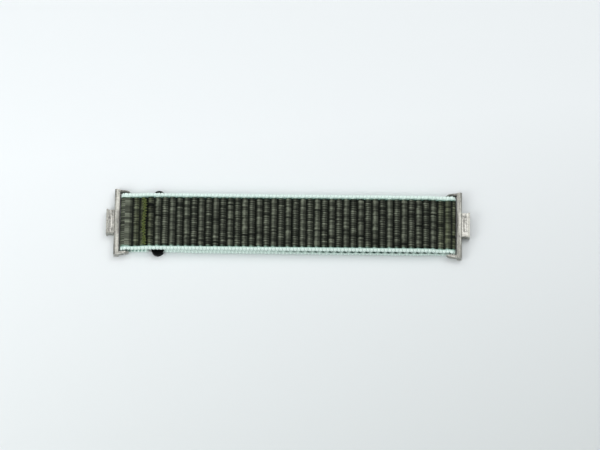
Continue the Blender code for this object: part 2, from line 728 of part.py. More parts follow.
def make_connector(parts, side_name, side):
    """One connector. Both are the same piece, turned half round, and both rest on the table."""
    pivot = bpy.data.objects.new(f"{side_name}_pin_axis", None)
    pivot.location = (side * PIN_X, 0, PIN_Z)
    pivot.rotation_euler = (0, droop_angle(), 0 if side > 0 else math.pi)
    parts.pieces.objects.link(pivot)
    make_frame(parts, side_name, pivot)
    make_pin(parts, side_name, pivot)
    make_cover(parts, side_name, pivot)
    make_catch(parts, side_name, pivot)
    make_spring(parts, side_name, pivot)


def clear_scene():
    for leftover in list(bpy.data.objects):
        bpy.data.objects.remove(leftover)


def main():
    clear_scene()
    parts = Parts()
    make_webbing(parts)
    make_seam(parts)
    make_end_stop(parts)
    make_connector(parts, "left", -1)
    make_connector(parts, "right", 1)


main()
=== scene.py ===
# %% [markdown]
# # A woven nylon watch strap
#
# The strap is one long webbing with a metal connector at each end. Its left end is folded round a
# pin and sewn down with olive thread. The other end goes through the right connector, turns back
# underneath and is held there by hook-and-loop. It lies flat on a pale table, ribbed side up.
#
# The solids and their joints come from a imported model. This lesson dresses them: it weaves the
# cloth yarn by yarn, rounds and finishes the metal, and lights the table.

# %% Load the fixed frame
import math

import bmesh
import bpy
import numpy as np
from mathutils import Matrix, Vector


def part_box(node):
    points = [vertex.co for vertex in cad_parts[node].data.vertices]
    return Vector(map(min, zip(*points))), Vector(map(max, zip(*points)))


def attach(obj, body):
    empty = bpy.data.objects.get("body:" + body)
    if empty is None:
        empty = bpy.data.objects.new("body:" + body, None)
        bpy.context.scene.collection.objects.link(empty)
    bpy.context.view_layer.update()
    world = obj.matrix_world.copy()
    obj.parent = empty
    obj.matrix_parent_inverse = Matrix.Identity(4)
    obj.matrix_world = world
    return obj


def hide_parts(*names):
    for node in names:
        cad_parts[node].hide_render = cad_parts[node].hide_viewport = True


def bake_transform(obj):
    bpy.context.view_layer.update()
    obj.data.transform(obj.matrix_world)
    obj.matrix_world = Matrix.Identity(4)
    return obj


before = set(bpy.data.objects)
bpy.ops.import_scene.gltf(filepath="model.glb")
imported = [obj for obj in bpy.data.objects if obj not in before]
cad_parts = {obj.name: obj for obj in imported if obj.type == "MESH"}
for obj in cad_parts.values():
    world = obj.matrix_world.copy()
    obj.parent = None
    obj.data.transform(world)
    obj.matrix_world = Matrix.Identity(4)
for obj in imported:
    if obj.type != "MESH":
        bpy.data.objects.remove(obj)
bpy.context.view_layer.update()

MM = 0.001

# %% [markdown]
# ## The camera
#
# The photograph looks down steeply, a little from the near side, and the strap lies slightly
# turned. Here the strap stays where the solids are, so the camera takes the turn instead. The
# numbers were found by matching the corners of the strap and of its metal ends in the picture.

# %% Place the camera
IMAGE_WIDTH_PX = 600
FOCAL_PX = 4232.0
SENSOR_WIDTH_MM = 36.0
LOOK_DOWN = math.radians(70.0)
STRAP_TURN = math.radians(-2.3)
CAMERA_ROLL = math.radians(-1.54)
CAMERA_DISTANCE = 1535.5 * MM
CAMERA_CLIP_START = 10 * MM
STRAP_SHIFT = Vector((-4.35, -0.29, 0.0)) * MM


def new_object(name, data):
    """An object at the origin, linked to the scene."""
    made = bpy.data.objects.new(name, data)
    bpy.context.scene.collection.objects.link(made)
    return made


def place_camera():
    forward = Vector((0.0, math.cos(LOOK_DOWN), -math.sin(LOOK_DOWN)))
    right = Vector((1.0, 0.0, 0.0))
    up = right.cross(forward)
    cosine, sine = math.cos(CAMERA_ROLL), math.sin(CAMERA_ROLL)
    rolled_right, rolled_up = right * cosine + up * sine, up * cosine - right * sine
    axes = Matrix((rolled_right, rolled_up, -forward)).transposed()
    turn_back = Matrix.Rotation(-STRAP_TURN, 3, "Z")
    place = turn_back @ (-forward * CAMERA_DISTANCE - STRAP_SHIFT)
    data = bpy.data.cameras.new("camera")
    data.lens = FOCAL_PX * SENSOR_WIDTH_MM / IMAGE_WIDTH_PX
    data.sensor_width = SENSOR_WIDTH_MM
    data.clip_start = CAMERA_CLIP_START
    camera = new_object("camera", data)
    camera.matrix_world = Matrix.Translation(place) @ (turn_back @ axes).to_4x4()
    bpy.context.scene.camera = camera
    print("lens", round(data.lens, 2), "mm")


place_camera()

# %% [markdown]
# ## Where the cloth runs
#
# The webbing is followed by its length, s, from the sewn end: underlap, left fold, upper layer,
# right fold, tail. At every length the middle line has a place and a direction that points to the
# ribbed side. Working by length keeps every yarn its true size where the cloth turns round a pin.

# %% Measure the webbing
BAND_WIDTH = 22.0 * MM
BAND_THICKNESS = 2.05 * MM
SELVEDGE_WIDTH = 1.6 * MM
RIB_PITCH = 2.625 * MM
LAYER_GAP = 0.3 * MM
FOLD_THICKNESS = 1.1 * MM
EASE_LENGTH = 8.4 * MM
GAP_EASE = 5.0 * MM
UPPER_RIBS = 45
UNDERLAP = 9.0 * MM
LOOP_RADIUS = 0.7 * MM
HALF = BAND_THICKNESS / 2
FIELD_HALF = BAND_WIDTH / 2 - SELVEDGE_WIDTH
FOLD_RADIUS = LOOP_RADIUS + FOLD_THICKNESS / 2
FOLD_LENGTH = math.pi * FOLD_RADIUS
PIN_X = UPPER_RIBS * RIB_PITCH / 2
PIN_Z = LOOP_RADIUS + FOLD_THICKNESS
UPPER_START = UNDERLAP + FOLD_LENGTH
RIGHT_FOLD = UPPER_START + UPPER_RIBS * RIB_PITCH
TAIL_START = RIGHT_FOLD + FOLD_LENGTH
print("webbing length", round((TAIL_START + 2 * PIN_X) / MM, 1), "mm at most")

# %% Follow the middle line
SLOPE_REACH = 0.1 * MM


def smooth(share):
    share = np.clip(share, 0.0, 1.0)
    return share * share * (3 - 2 * share)


def cloth_thickness(x):
    """The webbing is pressed thinner towards each pin."""
    eased = smooth((PIN_X - np.abs(x)) / EASE_LENGTH)
    return FOLD_THICKNESS + (BAND_THICKNESS - FOLD_THICKNESS) * eased


def upper_height(x):
    """Middle of the upper layer, which lies on the tail and parts from it to go round each pin."""
    parting = 1 - smooth((PIN_X - np.abs(x)) / GAP_EASE)
    gap = LAYER_GAP + (2 * LOOP_RADIUS - LAYER_GAP) * parting
    return cloth_thickness(x) * 3 / 2 + gap


def by_stretch(s, underlap, left_fold, upper, right_fold, tail):
    """Picks the values of the stretch of the strip that each length lies on."""
    ends = (s < UNDERLAP, s < UPPER_START, s <= RIGHT_FOLD, s < TAIL_START)
    return np.select(ends, (underlap, left_fold, upper, right_fold), tail)


def fold_turns(s):
    """Angles reached round the left and the right pin."""
    return (-np.pi / 2 - np.pi * (s - UNDERLAP) / FOLD_LENGTH,
            np.pi / 2 - np.pi * (s - RIGHT_FOLD) / FOLD_LENGTH)


def strip_x(s):
    """Where a length of the strip lies along the strap."""
    left, right = fold_turns(s)
    return by_stretch(s, -PIN_X + UNDERLAP - s, -PIN_X + FOLD_RADIUS * np.cos(left),
                      s - UPPER_START - PIN_X, PIN_X + FOLD_RADIUS * np.cos(right),
                      PIN_X - s + TAIL_START)


def strip_points(s, offset):
    """Places (x, z) of points offset from the middle line towards the ribbed side.

    The offset is that of the full thickness, and shrinks with it where the strip is pressed thin.
    """
    s = s[:, None]
    x = strip_x(s)
    share = cloth_thickness(x) / BAND_THICKNESS
    rise = upper_height(x + SLOPE_REACH) - upper_height(x - SLOPE_REACH)
    slope = np.arctan2(rise, 2 * SLOPE_REACH)
    left, right = fold_turns(s)
    radius = FOLD_RADIUS + offset * FOLD_THICKNESS / BAND_THICKNESS
    flat_x, flat_z = x + 0 * offset, cloth_thickness(x) / 2 - offset * share
    place_x = by_stretch(s, flat_x, -PIN_X + radius * np.cos(left),
                         x - offset * share * np.sin(slope), PIN_X + radius * np.cos(right), flat_x)
    place_z = by_stretch(s, flat_z, PIN_Z + radius * np.sin(left),
                         upper_height(x) + offset * share * np.cos(slope),
                         PIN_Z + radius * np.sin(right), flat_z)
    return place_x, place_z


print("upper layer's middle is", round(float(upper_height(0.0)) / MM, 2), "mm above the table")

# %% [markdown]
# ## The ribs and their yarns
#
# Each rib is a row of lengthwise floats that pass over a thick cord and dive between the ribs. The
# floats of the next rib lie half a yarn to the side, and every second rib is combed: its floats
# stand apart like teeth. One height rule makes the arch of a rib, the round back of each float and
# the small differences from float to float, so the relief is real geometry and not a picture of
# cloth. The same rule keeps the lift of each point, from which the colour takes its painted shade:
# dark down in the weave and between the floats, lighter on their backs.

# %% Count the ribs and deal out the yarns
FLOATS = 27
FLOAT_SAMPLES = 7
FLOAT_WIDTH = 2 * FIELD_HALF / FLOATS
RIB_SAMPLES = 16
COARSE_RIB = 0.85
GAP_LEAST, GAP_COMBED, GAP_CHANCE = 0.12, 0.63, 0.8
STOP_MARGIN = 0.3 * MM
STOP_INSERT = 3.0 * MM
STOP_FACE_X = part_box("end_stop")[1].x
TAIL_END = TAIL_START + PIN_X - STOP_FACE_X - STOP_MARGIN
TIP_END = TAIL_END + STOP_INSERT
chance = np.random.default_rng(7)


def rib_edges():
    """Lengths at which the ribs begin. Each fold round a pin has two."""
    edges = [UNDERLAP - k * RIB_PITCH for k in (3, 2, 1)]
    for fold, layer in ((UNDERLAP, UPPER_START), (RIGHT_FOLD, TAIL_START)):
        edges += [fold, fold + FOLD_LENGTH / 2]
        edges += [layer + k * RIB_PITCH for k in range(UPPER_RIBS)]
    return np.array(edges)


EDGES = rib_edges()
RIB_NUMBERS = np.arange(len(EDGES))
FLOAT_RISE = chance.normal(0, 1, (len(EDGES), FLOATS + 2))
FLOAT_SHIFT = chance.normal(0, 1, (len(EDGES), FLOATS + 2))
FLOAT_SHADE = chance.uniform(0, 1, (len(EDGES), FLOATS + 2))
combed = ((RIB_NUMBERS + 1) % 2)[:, None]
gap_chance = chance.uniform(0, 1, (len(EDGES), FLOATS + 3)) ** 1.6
FLOAT_GAP = np.minimum(GAP_LEAST + GAP_COMBED * combed + GAP_CHANCE * gap_chance, 1.0)
RIB_RISE = chance.normal(0, 1, len(EDGES))
RIB_FINENESS = (np.where(RIB_NUMBERS % 2, 1.0, COARSE_RIB)
                * chance.uniform(0.95, 1.0, len(EDGES)))
RIB_WAVE = chance.uniform(0, 2 * np.pi, len(EDGES))


def sample_lengths():
    """Lengths of the whole strip at which it is sampled, evenly within each rib."""
    lengths = EDGES[:-1, None] + np.diff(EDGES)[:, None] * np.arange(RIB_SAMPLES) / RIB_SAMPLES
    return lengths[(lengths > 0) & (lengths < TIP_END)]


LENGTHS = sample_lengths()
print("ribs", len(EDGES), "samples along the strip", len(LENGTHS))

# %% Pull the sewing down and stretch the folds
SEAM_X = -PIN_X + 2.5 * RIB_PITCH
SEAM_DIP = 0.6 * MM
SEAM_WIDTH = 1.25 * MM
SEAM_DIP_SHIFT = 0.3 * MM
GATHER_WIDTH = 2.8 * MM
PIN_STRETCH_WIDTH = 1.3 * MM
FOLD_STRETCH_WIDTH = 0.9 * MM
PIN_STRETCH, FOLD_STRETCH, MOST_STRETCH = 0.92, 0.85, 0.95


def on_upper(s):
    return (s > UPPER_START) & (s < RIGHT_FOLD)


def seam_pull(s):
    """How strongly the sewing holds the cloth down, from 0 to 1."""
    near = np.exp(-np.abs((strip_x(s) - SEAM_X - SEAM_DIP_SHIFT) / SEAM_WIDTH) ** 3)
    return np.where(on_upper(s), near, 0.0)


def seam_gather(s):
    """How much the sewing bunches the floats beside it."""
    near = np.exp(-(np.abs(strip_x(s) - SEAM_X) / GATHER_WIDTH) ** 2)
    return np.where(on_upper(s), near, 0.0)


def over_left_pin(s):
    return np.exp(-((s - UPPER_START) / PIN_STRETCH_WIDTH) ** 4)


def groove_strength(s):
    """The grooves over the left pin and outside each fold are stretched nearly flat."""
    stretched = PIN_STRETCH * over_left_pin(s)
    for start in (UNDERLAP, RIGHT_FOLD):
        middle = start + FOLD_LENGTH / 2
        stretched = stretched + FOLD_STRETCH * np.exp(-((s - middle) / FOLD_STRETCH_WIDTH) ** 4)
    return 1 - np.minimum(stretched, MOST_STRETCH)


print("seam lies", round((SEAM_X + PIN_X) / MM, 2), "mm from the left pin")

# %% Work out the relief of the weave
GROOVE_DEPTH = 0.75 * MM
# A float's side is this deep on a rib's back, and deeper by the second share in a groove.
FLOAT_DEPTH = 0.26 * MM
ON_BACK, IN_GROOVE = 0.7, 0.8
FLOAT_UNEVENNESS = 0.035 * MM
RIB_UNEVENNESS = 0.03 * MM
# Each groove ends in a small hole beside the selvedge.
HOLE_LENGTH = 0.9 * MM
HOLE_DEPTH = 0.5 * MM
HOLE_RIM = 0.6
# The floats drift sideways in long waves and are bunched beside the seam, both in float widths.
DRIFT, DRIFT_LENGTH = 0.14, 5.3 * MM
BUNCH, BUNCH_LENGTH, BUNCH_TURN = 0.75, 3.1 * MM, 1.9
FLOAT_SLIP = 0.03
# On the plain ribs, a crease down the middle of each float makes a pair of yarns of it.
CREASE_WIDTH, CREASE_DEPTH = 0.2, 0.45
# How the lift, which paints shade into the colour, follows a float's own rise, the sewing and
# the groove's ends: risen floats are painted lighter, the pulled seam and the end holes darker.
LIFT_BY_RISE, LIFT_BY_PULL, LIFT_BY_END, LIFT_AT_BACK = 0.34, 0.6, 0.45, 0.75
# A rib leans: it rises steeply on its left, is highest before its middle and slopes to the right.
RIB_PLACES = (0.0, 0.12, 0.22, 0.3, 0.43, 0.55, 0.66, 0.75, 0.86, 0.95, 1.0)
RIB_HEIGHTS = (0.0, 0.25, 0.65, 0.88, 1.0, 0.95, 0.8, 0.7, 0.5, 0.2, 0.0)
# The lifts paint a highlight left of a rib's middle, and shade to its right and in the grooves.
RIB_LIFTS = (0.02, 0.04, 0.26, 0.66, 0.95, 0.74, 0.38, 0.28, 0.38, 0.1, 0.02)


def float_places(s, y, rib, along):
    """Sideways places counted in floats, so that the whole part is the float's number."""
    wave = DRIFT * np.sin(2 * np.pi * y / DRIFT_LENGTH + RIB_WAVE[rib])
    bunch = np.sin(2 * np.pi * y / BUNCH_LENGTH + BUNCH_TURN * rib)
    bunch = BUNCH * seam_gather(s) * bunch * np.sin(np.pi * along)
    return (y + FIELD_HALF) / FLOAT_WIDTH * RIB_FINENESS[rib] + 0.5 * (rib % 2) + wave + bunch


def weave(s, y):
    """Depth below the nominal face, lift and shade of the field at lengths s and widths y."""
    rib = np.clip(np.searchsorted(EDGES, s, "right") - 1, 0, len(EDGES) - 2)
    s, y, rib = s[:, None], y[None, :], rib[:, None]
    along = (s - EDGES[rib]) / (EDGES[rib + 1] - EDGES[rib])
    place = float_places(s, y, rib, along)
    number = np.clip(np.floor(place).astype(int), 0, FLOATS + 1)
    across = 2 * (place - np.floor(place)) - 1
    rise, pull = FLOAT_RISE[rib, number], seam_pull(s)
    slipped = along + FLOAT_SLIP * FLOAT_SHIFT[rib, number] * 4 * along * (1 - along)
    arch = 1 - (1 - np.interp(slipped, RIB_PLACES, RIB_HEIGHTS)) * groove_strength(s)
    stretched = 1 - PIN_STRETCH * over_left_pin(s)
    open_rib = 1 - (1 - np.interp(slipped, RIB_PLACES, RIB_LIFTS)) * stretched
    gap = FLOAT_GAP[rib, number + (across > 0)]
    back = 1 - (1 - (1 - np.abs(across) ** 2.2) ** 0.6) * gap
    crease = np.exp(-(across / CREASE_WIDTH) ** 2) * (rib % 2)
    back = back * (1 - CREASE_DEPTH * crease)
    ends = smooth((np.abs(y) - FIELD_HALF + HOLE_LENGTH) / (HOLE_RIM * HOLE_LENGTH))
    depth = GROOVE_DEPTH * (1 - arch)
    depth = depth + FLOAT_DEPTH * (1 - back) * (ON_BACK + IN_GROOVE * (1 - arch))
    depth = depth + FLOAT_UNEVENNESS * rise * arch + RIB_UNEVENNESS * RIB_RISE[rib]
    depth = depth + SEAM_DIP * pull
    depth = depth + HOLE_DEPTH * ends * (1 - arch) ** 1.5
    # Painted shade and highlight: dark in the grooves and the lines between floats, light on backs.
    lift = open_rib * (1 - np.abs(across) ** 1.4 * gap) * (1 + LIFT_BY_RISE * rise)
    lift = lift * (1 - LIFT_BY_PULL * pull) * (1 - ends * (LIFT_BY_END - LIFT_AT_BACK * open_rib))
    return depth, np.clip(lift, 0, 1), FLOAT_SHADE[rib, number]


tried = weave(np.linspace(UPPER_START, RIGHT_FOLD, 200), np.linspace(-1, 1, 50) * FIELD_HALF)
print("relief", round(float(np.ptp(tried[0])) / MM, 2), "mm deep")

# %% [markdown]
# ## One length of webbing
#
# A section through the cloth has four zones: the ribbed field, a beaded selvedge at each side and
# the plain pile face below. Each zone lays its own offsets from the middle line, and beside them
# the values that the colour reads later, painted shade among them. The near selvedge is seen from
# its side in the photograph: the upper layer's is rolled under, the tail's lies a little wider,
# and a crease parts them, darkened by a painted shadow.

# %% Count the points round a section
SELVEDGE_SAMPLES = 16
PLAIN_SAMPLES = 40


def section_points():
    """Zone and running share of every point round the cloth's section."""
    across = FLOATS * FLOAT_SAMPLES
    beaded = (np.arange(SELVEDGE_SAMPLES) + 0.5) / SELVEDGE_SAMPLES
    plain = np.arange(PLAIN_SAMPLES + 1) / PLAIN_SAMPLES
    shares = {"field": np.arange(across + 1) / across, "near": beaded, "plain": plain,
              "far": beaded}
    zones = np.repeat(list(shares), [len(share) for share in shares.values()])
    return zones, np.concatenate(list(shares.values()))


ZONE, SHARE = section_points()
print("points round the cloth", len(ZONE))

# %% Change the cloth along its length
PRESSED_HALF = 0.325 * MM
PRESS_LENGTH = 0.3 * MM
START_ROUND, TIP_ROUND, LEAST_ROUND = 0.6 * MM, 0.2 * MM, 0.04
SEAM_TINT, PIN_TINT = 0.8, 0.35
RECESS_DEPTH = 0.6 * MM
RECESS_MARGIN, RECESS_SLOPE = 0.4 * MM, 0.2 * MM
PATCH_LOW, PATCH_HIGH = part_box("hook_patch")


def rounded_end(distance, radius):
    """Share of the full thickness that is left at a distance from a rounded end."""
    return np.sqrt(np.clip(1 - (1 - np.clip(distance / radius, 0, 1)) ** 2, LEAST_ROUND, 1))


def half_thickness(s):
    """Half the cloth's thickness, which is pressed thin where it enters the end stop."""
    half = HALF + (PRESSED_HALF - HALF) * smooth((s - TAIL_END + PRESS_LENGTH) / PRESS_LENGTH)
    return half * rounded_end(s, START_ROUND) * rounded_end(TIP_END - s, TIP_ROUND)


def cloth_tint(s):
    """How olive the cloth is: most beside the seam, a little on two ribs and the right fold."""
    right = PIN_TINT * smooth((s - RIGHT_FOLD + 2.4 * RIB_PITCH) / (1.2 * RIB_PITCH))
    return np.clip(seam_gather(s) * SEAM_TINT + np.where(s < TAIL_START, right, 0.0), 0, 1)


def tail_share(s):
    """0 on the upper layer, and 1 along the tail, which lies to the near side and looser."""
    into = smooth((s - TAIL_START - 2 * RIB_PITCH) / (3 * RIB_PITCH))
    return into * smooth((TAIL_END - 2 * RIB_PITCH - s) / (2 * RIB_PITCH))


def patch_recess(s):
    """The plain face is pressed in where the hook patch is welded on."""
    x = strip_x(s)
    inside = smooth((x - PATCH_LOW.x + RECESS_MARGIN) / RECESS_SLOPE)
    inside = inside * smooth((PATCH_HIGH.x + RECESS_MARGIN - x) / RECESS_SLOPE)
    return RECESS_DEPTH * inside * (s > TAIL_START)


print("tail ends", round((TIP_END - TAIL_START) / MM, 1), "mm behind the right fold")

# %% Bead the selvedges
BEADS_PER_RIB = 4
BEAD_SLANT = 1.6
BEAD_SWELL, BEAD_MEAN = 0.16, 0.6
SELVEDGE_SHARE = 0.84
LOOP_REACH = 0.16
TAIL_SPREAD = 0.1 * MM
TAIL_SHIFT = 0.08 * MM
NEAR_ROLL = 0.16
# Painted shade and highlight of a selvedge: its least lift, the shares of bead and loop that light
# the bead crowns, and the shade by the field.
SELVEDGE_SHADING = {"near": (0.3, 0.4, 0.3, 0.7), "far": (0.55, 0.25, 0.2, 0.3)}
# A painted shadow darkens the crease between the near selvedges, growing to the right, in one
# dark dash for each rib.
CREASE_X, CREASE_GROWTH = -15.0 * MM, 35.0 * MM
CREASE_MEAN, CREASE_DASH = 0.6, 0.4
CREASE_SHADE = 8.5


def lay(cloth, chosen, **values):
    for title, value in values.items():
        cloth[title][:, chosen] = value


def turned(angle, start, growth):
    """Grows from 0 to 1 as a selvedge turns past a start, in radians."""
    return smooth((angle - start) / growth)


def painted_crease_shadow(s):
    """How dark the painted shadow in the crease over the tail's near selvedge is at each length."""
    parted = smooth((s - TAIL_START) / (2 * RIB_PITCH))
    parted = parted * smooth((strip_x(s) - CREASE_X) / CREASE_GROWTH)
    return parted * (CREASE_MEAN + CREASE_DASH * np.cos(2 * np.pi * s / RIB_PITCH))


def lay_selvedge(cloth, s, half, zone, side):
    """Lays a beaded half round, from the ribbed face to the plain one, at one side of the cloth."""
    chosen = ZONE == zone
    share = (SHARE[chosen] if zone == "near" else 1 - SHARE[chosen])[None, :]
    angle = np.pi / 2 - np.pi * share
    bead = np.abs(np.cos(np.pi * (BEADS_PER_RIB * s / RIB_PITCH + BEAD_SLANT * share))) ** 0.8
    loop = np.abs(np.cos(np.pi * BEADS_PER_RIB / 2 * s / RIB_PITCH))
    swell = 1 + BEAD_SWELL * (bead - BEAD_MEAN)
    reach = SELVEDGE_WIDTH * (1 - LOOP_REACH + LOOP_REACH * loop * np.cos(angle))
    reach = reach + TAIL_SPREAD * tail_share(s)
    if zone == "near":
        reach = reach * (1 - NEAR_ROLL * on_upper(s))
    round_face = np.sign(angle) * np.abs(np.sin(angle)) ** 0.8
    least, by_bead, by_loop, shaded = SELVEDGE_SHADING[zone]
    # Painted highlight on bead crowns; painted shade under the selvedge between loops and by the
    # field.
    twist = least + by_bead * bead + by_loop * loop
    facing = np.where(s > RIGHT_FOLD + FOLD_LENGTH / 2, 1.0, -1.0) * angle
    lift = twist * (1 - turned(facing, 0.05, 0.6) * (1 - loop ** 2))
    lift = lift * (1 - shaded * turned(-facing, 1.15, 0.3))
    if zone == "near":
        # Painted shadow in the crease between the layers, laid into both lift and shade.
        crease = turned(-facing, 0.55, 0.4) * painted_crease_shadow(s)
        lift = lift * (1 - crease)
        cloth["shade"][:, chosen] -= CREASE_SHADE * crease
    lay(cloth, chosen, width=side * (FIELD_HALF + reach * np.cos(angle) ** 0.75 * swell),
        offset=half * SELVEDGE_SHARE * round_face * swell, lift=lift)


print("beads on each selvedge", round(TIP_END / RIB_PITCH * BEADS_PER_RIB))

# %% Lay the field and the pile, and join the zones
FRINGE_WIDTH = 0.6 * MM
FRINGE_DEPTH = 0.25 * MM
NAP_DEPTH = 0.07 * MM
NAP_SPREAD = 0.5
NAP_LIFT = 0.75


def lay_field(cloth, s, half):
    chosen = ZONE == "field"
    y = FIELD_HALF - 2 * FIELD_HALF * SHARE[chosen]
    depth, lift, shade = weave(s, y)
    fringe = smooth((np.abs(y) - FIELD_HALF + FRINGE_WIDTH) / FRINGE_WIDTH)[None, :]
    lay(cloth, chosen, offset=half - (depth + fringe * FRINGE_DEPTH) * (half / HALF), width=y,
        lift=lift, shade=shade, fringe=fringe)


def lay_pile(cloth, s, half):
    chosen = ZONE == "plain"
    nap = np.minimum(np.abs(chance.normal(0, NAP_SPREAD, (len(s), chosen.sum()))), 1.0)
    # The lift paints the pile darker where the nap is pressed in: painted shade and a random
    # speckle.
    lay(cloth, chosen, width=-FIELD_HALF + 2 * FIELD_HALF * SHARE[chosen],
        offset=-half + NAP_DEPTH * nap * (half / HALF) + patch_recess(s)[:, None],
        lift=1 - NAP_LIFT * nap)


def cloth_points(s):
    """Coordinates of every point of a length of webbing, and the values that its colour reads,
    painted shade among them.
    """
    shape = (len(s), len(ZONE))
    cloth = {title: np.zeros(shape) for title in ("offset", "width", "fringe")}
    cloth.update(lift=np.ones(shape), shade=np.full(shape, 0.5))
    half = half_thickness(s)[:, None]
    lay_field(cloth, s, half)
    for zone, side in (("near", -1), ("far", 1)):
        lay_selvedge(cloth, s[:, None], half, zone, side)
    lay_pile(cloth, s, half)
    place_x, place_z = strip_points(s, cloth.pop("offset"))
    place_y = cloth["width"] - TAIL_SHIFT * tail_share(s)[:, None]
    cloth["tint"] = np.broadcast_to(cloth_tint(s)[:, None], shape)
    cloth["run"] = np.broadcast_to(s[:, None], shape)
    return np.stack([place_x, place_y, place_z], axis=-1), cloth


print("fringe", FRINGE_WIDTH / MM, "mm wide at each side of the field")

# %% [markdown]
# ## Weaving the pieces
#
# A flat grid from bmesh has the right faces already: its columns run round the cloth's section and
# its rows run along the strip. Each point then moves to its place on the strip, the grid's two long
# sides meet and are merged, and the open ends are filled. The strap bends at seven lines, and a
# piece of cloth can be blended across only one, so the webbing is cut in grooves midway between the
# lines, where a cut is hidden.

# %% Weave one length of webbing
# Materials by their place on the piece: ribbed field, selvedges, plain pile.
FIELD, EDGE, PLAIN = 0, 1, 2
MERGE_REACH = 1e-6


def bmesh_to_mesh(bm, mesh):
    bm.to_mesh(mesh)
    bm.free()
    return mesh


def face_materials():
    """Material of the face from each section point to the next."""
    zones = np.array([{"field": FIELD, "plain": PLAIN}.get(zone, EDGE) for zone in ZONE])
    following = np.roll(zones, -1)
    return np.where((zones == EDGE) | (following == EDGE), EDGE, np.maximum(zones, following))


def weave_piece(name, start, end):
    """A closed length of webbing from one length of the strip to another."""
    inside = LENGTHS[(LENGTHS > start + 1e-7) & (LENGTHS < end - 1e-7)]
    s = np.concatenate([[start], inside, [end]])
    points, values_by_title = cloth_points(s)
    rows, columns = len(s), len(ZONE) + 1
    bm = bmesh.new()
    bmesh.ops.create_grid(bm, x_segments=columns - 1, y_segments=rows - 1, size=1.0)
    mesh = bmesh_to_mesh(bm, bpy.data.meshes.new(name))
    wrap = np.arange(columns) % (columns - 1)
    mesh.vertices.foreach_set("co", points[:, wrap].reshape(-1).astype(np.float32))
    for title, values in values_by_title.items():
        layer = mesh.attributes.new(title, "FLOAT", "POINT")
        layer.data.foreach_set("value", values[:, wrap].reshape(-1).astype(np.float32))
    materials = np.tile(face_materials(), rows - 1).astype(np.int32)
    mesh.polygons.foreach_set("material_index", materials)
    mesh.polygons.foreach_set("use_smooth", np.ones(len(materials), bool))
    bm = bmesh.new()
    bm.from_mesh(mesh)
    bmesh.ops.remove_doubles(bm, verts=bm.verts, dist=MERGE_REACH)
    rims = [edge for edge in bm.edges if edge.is_boundary]
    bmesh.ops.holes_fill(bm, edges=rims, sides=0)
    bmesh.ops.recalc_face_normals(bm, faces=bm.faces)
    return new_object(name, bmesh_to_mesh(bm, mesh))


print("faces round the cloth", len(face_materials()))

# %% [markdown]
# ## Colours and finishes
#
# Two small node groups are shared. One colours a yarn with painted shade and highlight: dark down
# in the weave and lighter on its back, with a different strength for each float. The other makes
# the fine filaments of a spun yarn, which give the cloth its soft, scattered shine. Each material
# keeps its own shader, so its roughness and sheen are plain values on that shader.

# %% Make helpers for nodes
def linear(red, green, blue):
    """Scene colour from the 0-255 values that a paint chart gives."""
    values = [channel / 255 for channel in (red, green, blue)]
    return (*[v / 12.92 if v <= 0.04045 else ((v + 0.055) / 1.055) ** 2.4 for v in values], 1.0)


def feed(tree, sockets, values):
    """Links the values that change over the surface, and sets those that don't."""
    for place, value in values.items():
        if isinstance(value, bpy.types.NodeSocket):
            tree.links.new(value, sockets[place])
        else:
            sockets[place].default_value = value


def add_node(tree, kind, values, output=0, **settings):
    """Adds a node, feeds its inputs by place or title, and gives back one of its outputs."""
    node = tree.nodes.new("ShaderNode" + kind)
    for title, setting in settings.items():
        setattr(node, title, setting)
    feed(tree, node.inputs, values)
    return node.outputs[output]


def add_math(tree, operation, *values):
    return add_node(tree, "Math", dict(enumerate(values)), operation=operation)


def add_mix(tree, share, first, second):
    """Mixes two colours, which this node takes at its places 6 and 7 and puts out at 2."""
    return add_node(tree, "Mix", {0: share, 6: first, 7: second}, 2, data_type="RGBA")


def add_scaled(tree, colour, factor):
    return add_node(tree, "VectorMath", {0: colour, "Scale": factor}, operation="SCALE")


def add_attribute(tree, title):
    return add_node(tree, "Attribute", {}, "Fac", attribute_name=title)


def add_noise(tree, place, scale, detail):
    return add_node(tree, "TexNoise", {"Vector": place, "Scale": scale, "Detail": detail})


def add_place(tree):
    return add_node(tree, "TexCoord", {}, "Object")


print("middle grey", round(linear(128, 128, 128)[0], 3))

# %% Make the two groups of the cloth
COLOUR, NUMBER = "NodeSocketColor", "NodeSocketFloat"
FILAMENT_DETAIL = 3.0


def new_group(name, inputs, outputs):
    """A node group, and the sockets inside it that give its inputs and take its outputs."""
    group = bpy.data.node_groups.new(name, "ShaderNodeTree")
    for way, kinds in (("INPUT", inputs), ("OUTPUT", outputs)):
        for title, kind in kinds.items():
            group.interface.new_socket(title, in_out=way, socket_type=kind)
    given, result = (group.nodes.new(f"NodeGroup{way}") for way in ("Input", "Output"))
    return group, given.outputs, result.inputs


def make_tone_and_shade_group():
    group, given, result = new_group(
        "yarn_colour_and_shade", {"Deep": COLOUR, "Top": COLOUR, "Spread": NUMBER}, {"Colour": COLOUR})
    # Painted shade: the lift mixes from the dark colour down in the weave to the yarn's top colour.
    colour = add_mix(group, add_attribute(group, "lift"), given["Deep"], given["Top"])
    centred = add_math(group, "SUBTRACT", add_attribute(group, "shade"), 0.5)
    strength = add_math(group, "MULTIPLY_ADD", centred, given["Spread"], 1.0)
    feed(group, result, {"Colour": add_scaled(group, colour, strength)})
    return group


